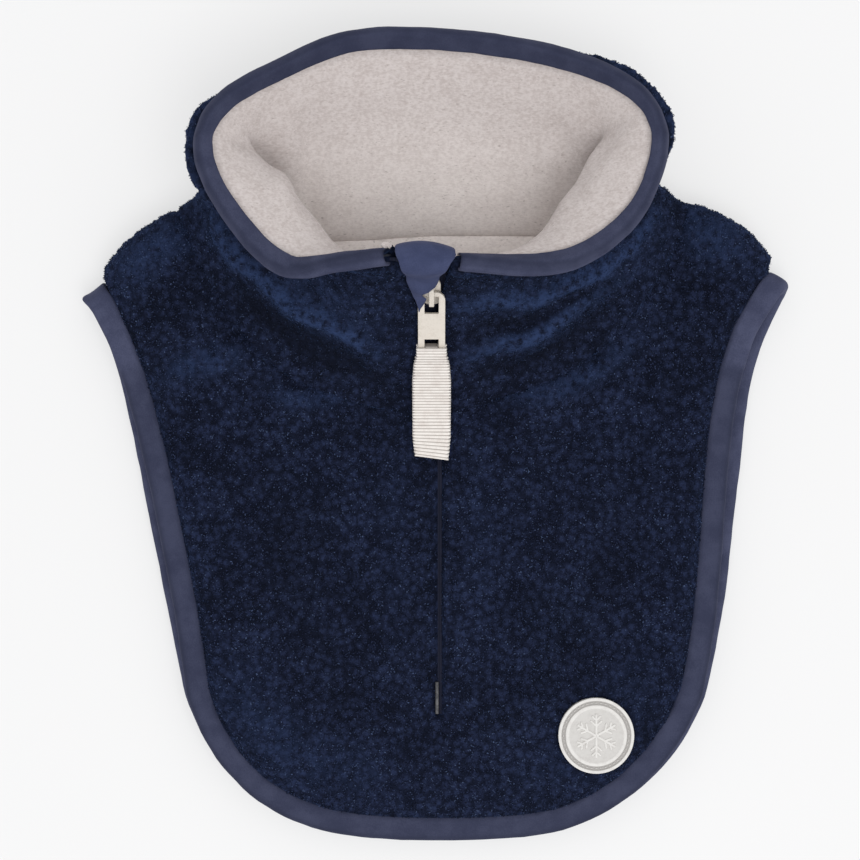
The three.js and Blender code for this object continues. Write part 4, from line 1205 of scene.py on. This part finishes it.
@dataclass
class Trim:
    """The folded jersey and the zip's tapes, flap and coil."""

    pucker: float = 0.5 * MM
    swollen: float = 0.08 * MM
    dip: Span = (0.3 * MM, 1.9 * MM)  # how far its shaded edge reaches
    far_shade: float = 0.45
    far_side: Span = (0.06, 0.105)  # from here up the binding darkens with painted shade
    tips: Sequence[tuple[Spot, Spot, float]] = (
        ((-102, 46), (-0.6, -3.4), 6.0),
        ((101, 45), (0.3, 0.8), 5.0),
    )

    def folded(self, node: str, name: str, wave: float, dips_under: str, material: Material) -> Piece:
        """A soft folded strip from its CAD solid.

        Args:
            node: the CAD solid.
            name: the piece's name.
            wave: the height of its small waves.
            dips_under: the CAD node that shades its nearest edge.
            material: its cloth.

        Returns:
            The piece.
        """
        piece = rounded_strip(node, name)
        places, normals = points_of(piece), normals_of(piece)
        move_points(piece, places + normals * self.swollen)
        for centre, shift, width in self.tips:
            nudge(piece, centre, shift, width)
        roughen(piece, Grain.CLOUDS, 8 * MM, wave)
        # painted shade along the edge next to dips_under, and growing further up towards the back of the
        # collar
        shaded = 1 - clear_of(places, [dips_under], *self.dip)
        far_side = self.far_shade * ease(places[:, 1], *self.far_side)
        keep_values(piece, SHADED, np.maximum(shaded, far_side))
        return dress(smooth(piece), material, "jersey_binding", GARMENT, node)

    def build(self, jersey: Material, flap: Material, tape: Material) -> None:
        """Makes the bindings, the flap, the tapes and the coil."""
        self.folded("rim_binding", "rim_binding_cloth", self.pucker, "collar_lining", jersey)
        self.folded("edge_binding", "edge_binding_cloth", self.pucker, "front_bib", jersey)
        Flap().build(flap)
        for node in TAPES:
            piece = squares(copy_of(node, f"{node}_cloth"))
            modify(piece, "BEVEL", width=0.15 * MM, segments=2, limit_method="ANGLE")
            dress(smooth(piece, 50), tape, "zip_tape", GARMENT, node)
        coil = NODES["zip_coil"]
        coil.data.materials.clear()
        coil.data.materials.append(tape)


@dataclass
class Flap:
    """The flap of binding cloth that is folded over the zip's top and ends in a point.

    The outlines hold places seen from above, in millimetres, from the folded top down to the tip.
    """

    left: Sequence[Spot] = ((-12.0, 53.0), (-10.1, 47.2), (-7.6, 41.7), (-5.1, 36.4))
    right: Sequence[Spot] = ((5.4, 51.3), (3.0, 46.7), (0.0, 42.0), (-4.7, 36.4))
    arch: float = 1.6
    droop: float = 1.0
    row: float = 0.8  # points this close in height are one row across
    top: Span = (44, 52)  # heights over which the arch sets in

    @staticmethod
    def _across(outline: Sequence[Spot], y: np.ndarray) -> np.ndarray:
        """How far across an outline lies at each height of the picture."""
        x, heights = np.array(outline)[::-1].T
        return np.interp(y, heights, x)

    def build(self, material: Material) -> Piece:
        """Makes it from its CAD solid, drawn in to its pointed outline."""
        piece = rounded_strip("zip_garage", "zip_garage_cloth")
        places = points_of(piece)
        x, y = places[:, 0] / MM, places[:, 1] / MM
        near = np.abs(y[:, None] - y[None, :]) < self.row
        low = np.where(near, x[None, :], np.inf).min(axis=1)
        high = np.where(near, x[None, :], -np.inf).max(axis=1)
        share = (x - low) / np.maximum(high - low, 0.1)
        left, right = self._across(self.left, y), self._across(self.right, y)
        top = ease(y, *self.top)
        places[:, 0] = (left + (right - left) * share) * MM
        places[:, 1] += (self.arch * np.sin(np.pi * share) - self.droop * share) * top * MM
        move_points(piece, places)
        keep_values(piece, SHADED, np.zeros(len(places)))
        return dress(smooth(piece), material, "jersey_binding", GARMENT, "zip_garage")


# Hard pieces


@dataclass
class Hardware:
    """The slider, its tab and the zip's bottom stop."""

    edge: float = 0.25 * MM
    narrowed: float = 0.72  # the slider's width, so that it hides under the tab

    def softened(self, node: str, name: str, material: Material, slot: str, body: str) -> Piece:
        """A CAD solid with rounded edges.

        Args:
            node: the CAD solid.
            name: the piece's name.
            material: its finish.
            slot: the record's material slot.
            body: the CAD body that it rides on.

        Returns:
            The piece.
        """
        piece = copy_of(node, name)
        edit(piece, lambda: bpy.ops.mesh.dissolve_limited(angle_limit=math.radians(4)))
        bevel = {"width": self.edge, "segments": 3, "angle_limit": math.radians(35)}
        modify(piece, "BEVEL", limit_method="ANGLE", **bevel)
        return dress(smooth(piece, 40), material, slot, body, node)

    def narrow(self, slider: Piece) -> None:
        """Makes the slider narrower and centres it under the tab."""
        tab = [corner[0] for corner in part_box("pull_tab")]
        places = points_of(slider)
        middle = (places[:, 0].min() + places[:, 0].max()) / 2
        places[:, 0] = sum(tab) / 2 + (places[:, 0] - middle) * self.narrowed
        move_points(slider, places)

    def build(self, cream: Material, steel: Material) -> None:
        """Makes the three of them."""
        self.narrow(self.softened("zip_slider", "slider", cream, "cream_metal", GARMENT))
        self.softened("pull_tab", "tab", cream, "cream_metal", PULL)
        self.softened("zip_bottom_stop", "bottom_stop", steel, "stop_metal", GARMENT)


@dataclass
class Ribbon:
    """The ribbed ribbon on the tab, with scalloped edges and a slanting end."""

    voxel: float = 0.19 * MM
    pitch: float = 0.94 * MM
    rib: float = 0.09 * MM
    scallop: float = 0.7 * MM
    slant: float = 1.4 * MM
    end: float = 9 * MM  # length of the slanting end
    edges: Span = (0.7, 0.95)  # shares of the half width where the scallops set in

    def build(self, material: Material) -> Piece:
        """Makes the ribbon from its CAD solid."""
        piece = copy_of("ribbon_pull", "ribbon")
        modify(piece, "REMESH", mode="VOXEL", voxel_size=self.voxel, adaptivity=0.0)
        places, normals = points_of(piece), normals_of(piece)
        low, high = (np.array(corner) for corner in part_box("ribbon_pull"))
        middle = (low + high) / 2
        drop = np.array([0, high[1] - low[1], high[2] - low[2]])
        length = np.linalg.norm(drop)
        along = (places - high) @ (drop / length)
        wave = 0.5 + 0.5 * np.cos(2 * np.pi * along / self.pitch)
        side = np.clip((places[:, 0] - middle[0]) / ((high[0] - low[0]) / 2), -1, 1)
        edge = ease(np.abs(side), *self.edges) * np.sign(side)
        moved = places + normals * (self.rib * (wave - 0.5))[:, None]
        moved[:, 0] += edge * self.scallop * (wave - 0.5)
        end = ease(-along, length - self.end, length)
        moved[:, 1] -= side * end * self.slant / 2
        move_points(piece, moved)
        keep_values(piece, RAISED, wave)
        return dress(smooth(piece, 60), material, "ribbon", PULL, "ribbon_pull")


@dataclass
class Badge:
    """The round badge: a raised rim, a stitched groove, an inner ring and a plain six-armed snowflake."""

    rim: float = 0.8 * MM
    groove: float = 0.95 * MM
    ring: float = 0.75 * MM
    relief: float = 0.45 * MM
    stitches: int = 44
    arm: float = 6.4 * MM
    bar: float = 0.75 * MM
    barbs: Sequence[Span] = ((0.45, 0.36), (0.72, 0.28))  # shares of the arm: the place and the length
    lean: float = math.radians(48)  # of the barbs from their arm
    stitch: tuple[float, float, float] = (0.62, 0.42 * MM, 0.3 * MM)  # share of a step, width, height
    edge: float = 0.09 * MM

    def disc(self, centre: Vector, radius: float, height: float) -> Piece:
        """The disc with its rim, groove, ring and field."""
        deselect()
        bpy.ops.mesh.primitive_cylinder_add(vertices=96, radius=radius, depth=height, location=centre)
        disc = settle(named("badge_disc"))
        top = centre.z + height / 2
        pick(disc, "FACE", lambda face: face.normal.z > 0.9 and face.center.z > top - self.relief / 4)
        steps = (
            (self.rim, 0),
            (self.rim * 0.25, -self.relief),
            (self.groove, 0),
            (self.rim * 0.25, self.relief * 0.9),
            (self.ring, 0),
            (self.rim * 0.3, -self.relief * 0.4),
            (self.rim, 0),
        )
        for width, depth in steps:
            bpy.ops.mesh.inset(thickness=width, depth=depth)
        bpy.ops.object.mode_set(mode="OBJECT")
        bevel = {"width": self.edge, "segments": 2, "angle_limit": math.radians(30)}
        return modify(disc, "BEVEL", limit_method="ANGLE", **bevel)

    def bead(self, place: Vector, length: float, width: float, height: float, angle: float) -> Piece:
        """A small rounded bar that lies flat.

        Args:
            place: its middle.
            length: of the bar.
            width: of the bar.
            height: of the bar.
            angle: of its length from +X.

        Returns:
            The bar.
        """
        deselect()
        bpy.ops.mesh.primitive_cube_add(size=1, location=place, rotation=(0, 0, angle))
        bar = named("bar")
        bar.scale = (length, width, height)
        settle(bar)
        return modify(bar, "BEVEL", width=0.42 * min(width, height), segments=3, limit_method="ANGLE")

    def snowflake(self, centre: Vector) -> list[Piece]:
        """Six arms with two pairs of barbs each."""
        bars = []
        for k in range(6):
            angle = math.radians(60 * k + 30)
            way = Vector((math.cos(angle), math.sin(angle), 0))
            bars.append(self.bead(centre + way * self.arm / 2, self.arm, self.bar, self.relief * 1.4, angle))
            for share, length in self.barbs:
                root = centre + way * self.arm * share
                for turn in (-1, 1):
                    lean = angle + turn * self.lean
                    reach = Vector((math.cos(lean), math.sin(lean), 0)) * self.arm * length
                    place = root + reach / 2
                    bars.append(self.bead(place, reach.length, self.bar * 0.85, self.relief * 1.3, lean))
        return bars

    def build(self, material: Material) -> Piece:
        """Makes the badge in its CAD solid's place."""
        low, high = (Vector(corner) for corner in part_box("badge"))
        centre = (low + high) / 2
        radius = (high.x - low.x) / 2
        height = high.z - low.z
        disc = self.disc(centre, radius, height)
        field = Vector((centre.x, centre.y, high.z - self.relief * 0.45))
        parts = [disc, *self.snowflake(field)]
        path = radius - self.rim * 1.25 - self.groove / 2
        share, width, thickness = self.stitch
        length = share * 2 * math.pi * path / self.stitches
        for k in range(self.stitches):
            angle = 2 * math.pi * k / self.stitches
            spot = Vector((math.cos(angle), math.sin(angle), 0)) * path
            spot += Vector((centre.x, centre.y, high.z - self.relief * 0.92))
            parts.append(self.bead(spot, length, width, thickness, angle + math.pi / 2))
        piece = joined(parts)
        keep_values(piece, RAISED, ease(points_of(piece)[:, 2], high.z - self.relief, high.z))
        return dress(smooth(piece, 40), material, "silicone", GARMENT, "badge")


# Scene


@dataclass
class Studio:
    """The pale floor, the soft lights and the camera straight above."""

    centre: tuple[float, float] = (-0.0018, 0.0026)
    height: float = 0.7
    focal_pixels: float = 2360.0
    frame_pixels: float = 860.0
    sensor: float = 36.0
    floor_colours: tuple[Colour, Colour] = ((0.33, 0.331, 0.334, 1), (0.334, 0.334, 0.338, 1))
    floor_glow: float = 0.56
    ambient: float = 0.86
    key_place: tuple[float, float, float] = (0.35, -0.6, 1.6)
    key_size: float = 1.2
    key_power: float = 11.0

    def camera(self) -> Piece:
        """The camera of the photograph."""
        deselect()
        bpy.ops.object.camera_add(location=(*self.centre, self.height), rotation=(0, 0, 0))
        camera = bpy.context.object
        camera.data.sensor_width = self.sensor
        camera.data.lens = self.sensor * self.focal_pixels / self.frame_pixels
        camera.data.clip_start = 0.01
        bpy.context.scene.camera = camera
        return camera

    def floor(self) -> Piece:
        """The white table."""
        deselect()
        bpy.ops.mesh.primitive_plane_add(size=6, location=(0, 0, -0.02 * MM))
        floor = settle(named("floor"))
        shader = Shader("floor")
        tint = shader.blend(shader.noise(0.2, detail=1), *self.floor_colours)
        glow = {"Emission_Color": (1, 1, 1, 1), "Emission_Strength": self.floor_glow}
        floor.data.materials.append(shader.finish(tint, Roughness=0.9, Specular_IOR_Level=0.1, **glow))
        return floor

    def light(self) -> None:
        """A square lamp that points at the middle of the dickey."""
        deselect()
        aim = Vector((0, 0, 0)) - Vector(self.key_place)
        turn = aim.to_track_quat("-Z", "Y").to_euler()
        bpy.ops.object.light_add(type="AREA", location=self.key_place, rotation=turn)
        lamp = bpy.context.object
        lamp.name = "key"
        lamp.data.size = self.key_size
        lamp.data.energy = self.key_power

    def build(self) -> None:
        """Sets up the whole studio."""
        scene = bpy.context.scene
        scene.view_settings.view_transform = "Standard"
        world = bpy.data.worlds.new("studio")
        scene.world = world
        world.use_nodes = True
        sky = world.node_tree.nodes["Background"].inputs
        sky["Color"].default_value = (1, 1, 1, 1)
        sky["Strength"].default_value = self.ambient
        self.floor()
        self.light()
        self.camera()


def main() -> None:
    """Builds the studio and every piece in order."""
    logging.basicConfig(level=logging.INFO, format="%(message)s")
    NODES.update(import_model()["nodes"])
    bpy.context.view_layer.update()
    Studio().build()
    Fleece().build()
    Lining().build(Microfleece().material())
    flap = Jersey(name="jersey_flap", light=colour(66, 73, 104), dark=colour(54, 61, 90))
    Trim().build(Jersey().material(), flap.material(), ZipTape().material())
    cream = Smooth("cream_lacquer", colour(216, 208, 198), colour(204, 195, 184), 0.35, coat=0.3)
    steel = Smooth("steel", colour(84, 84, 86), colour(62, 62, 66), 0.5, metallic=1.0)
    silicone = Smooth(
        "silicone", colour(219, 217, 214), colour(209, 206, 203), 0.6, painted_recess_shade=colour(168, 165, 162)
    )
    Hardware().build(cream.material(), steel.material())
    Ribbon().build(Grosgrain().material())
    Badge().build(silicone.material())


if __name__ == "__main__":
    main()
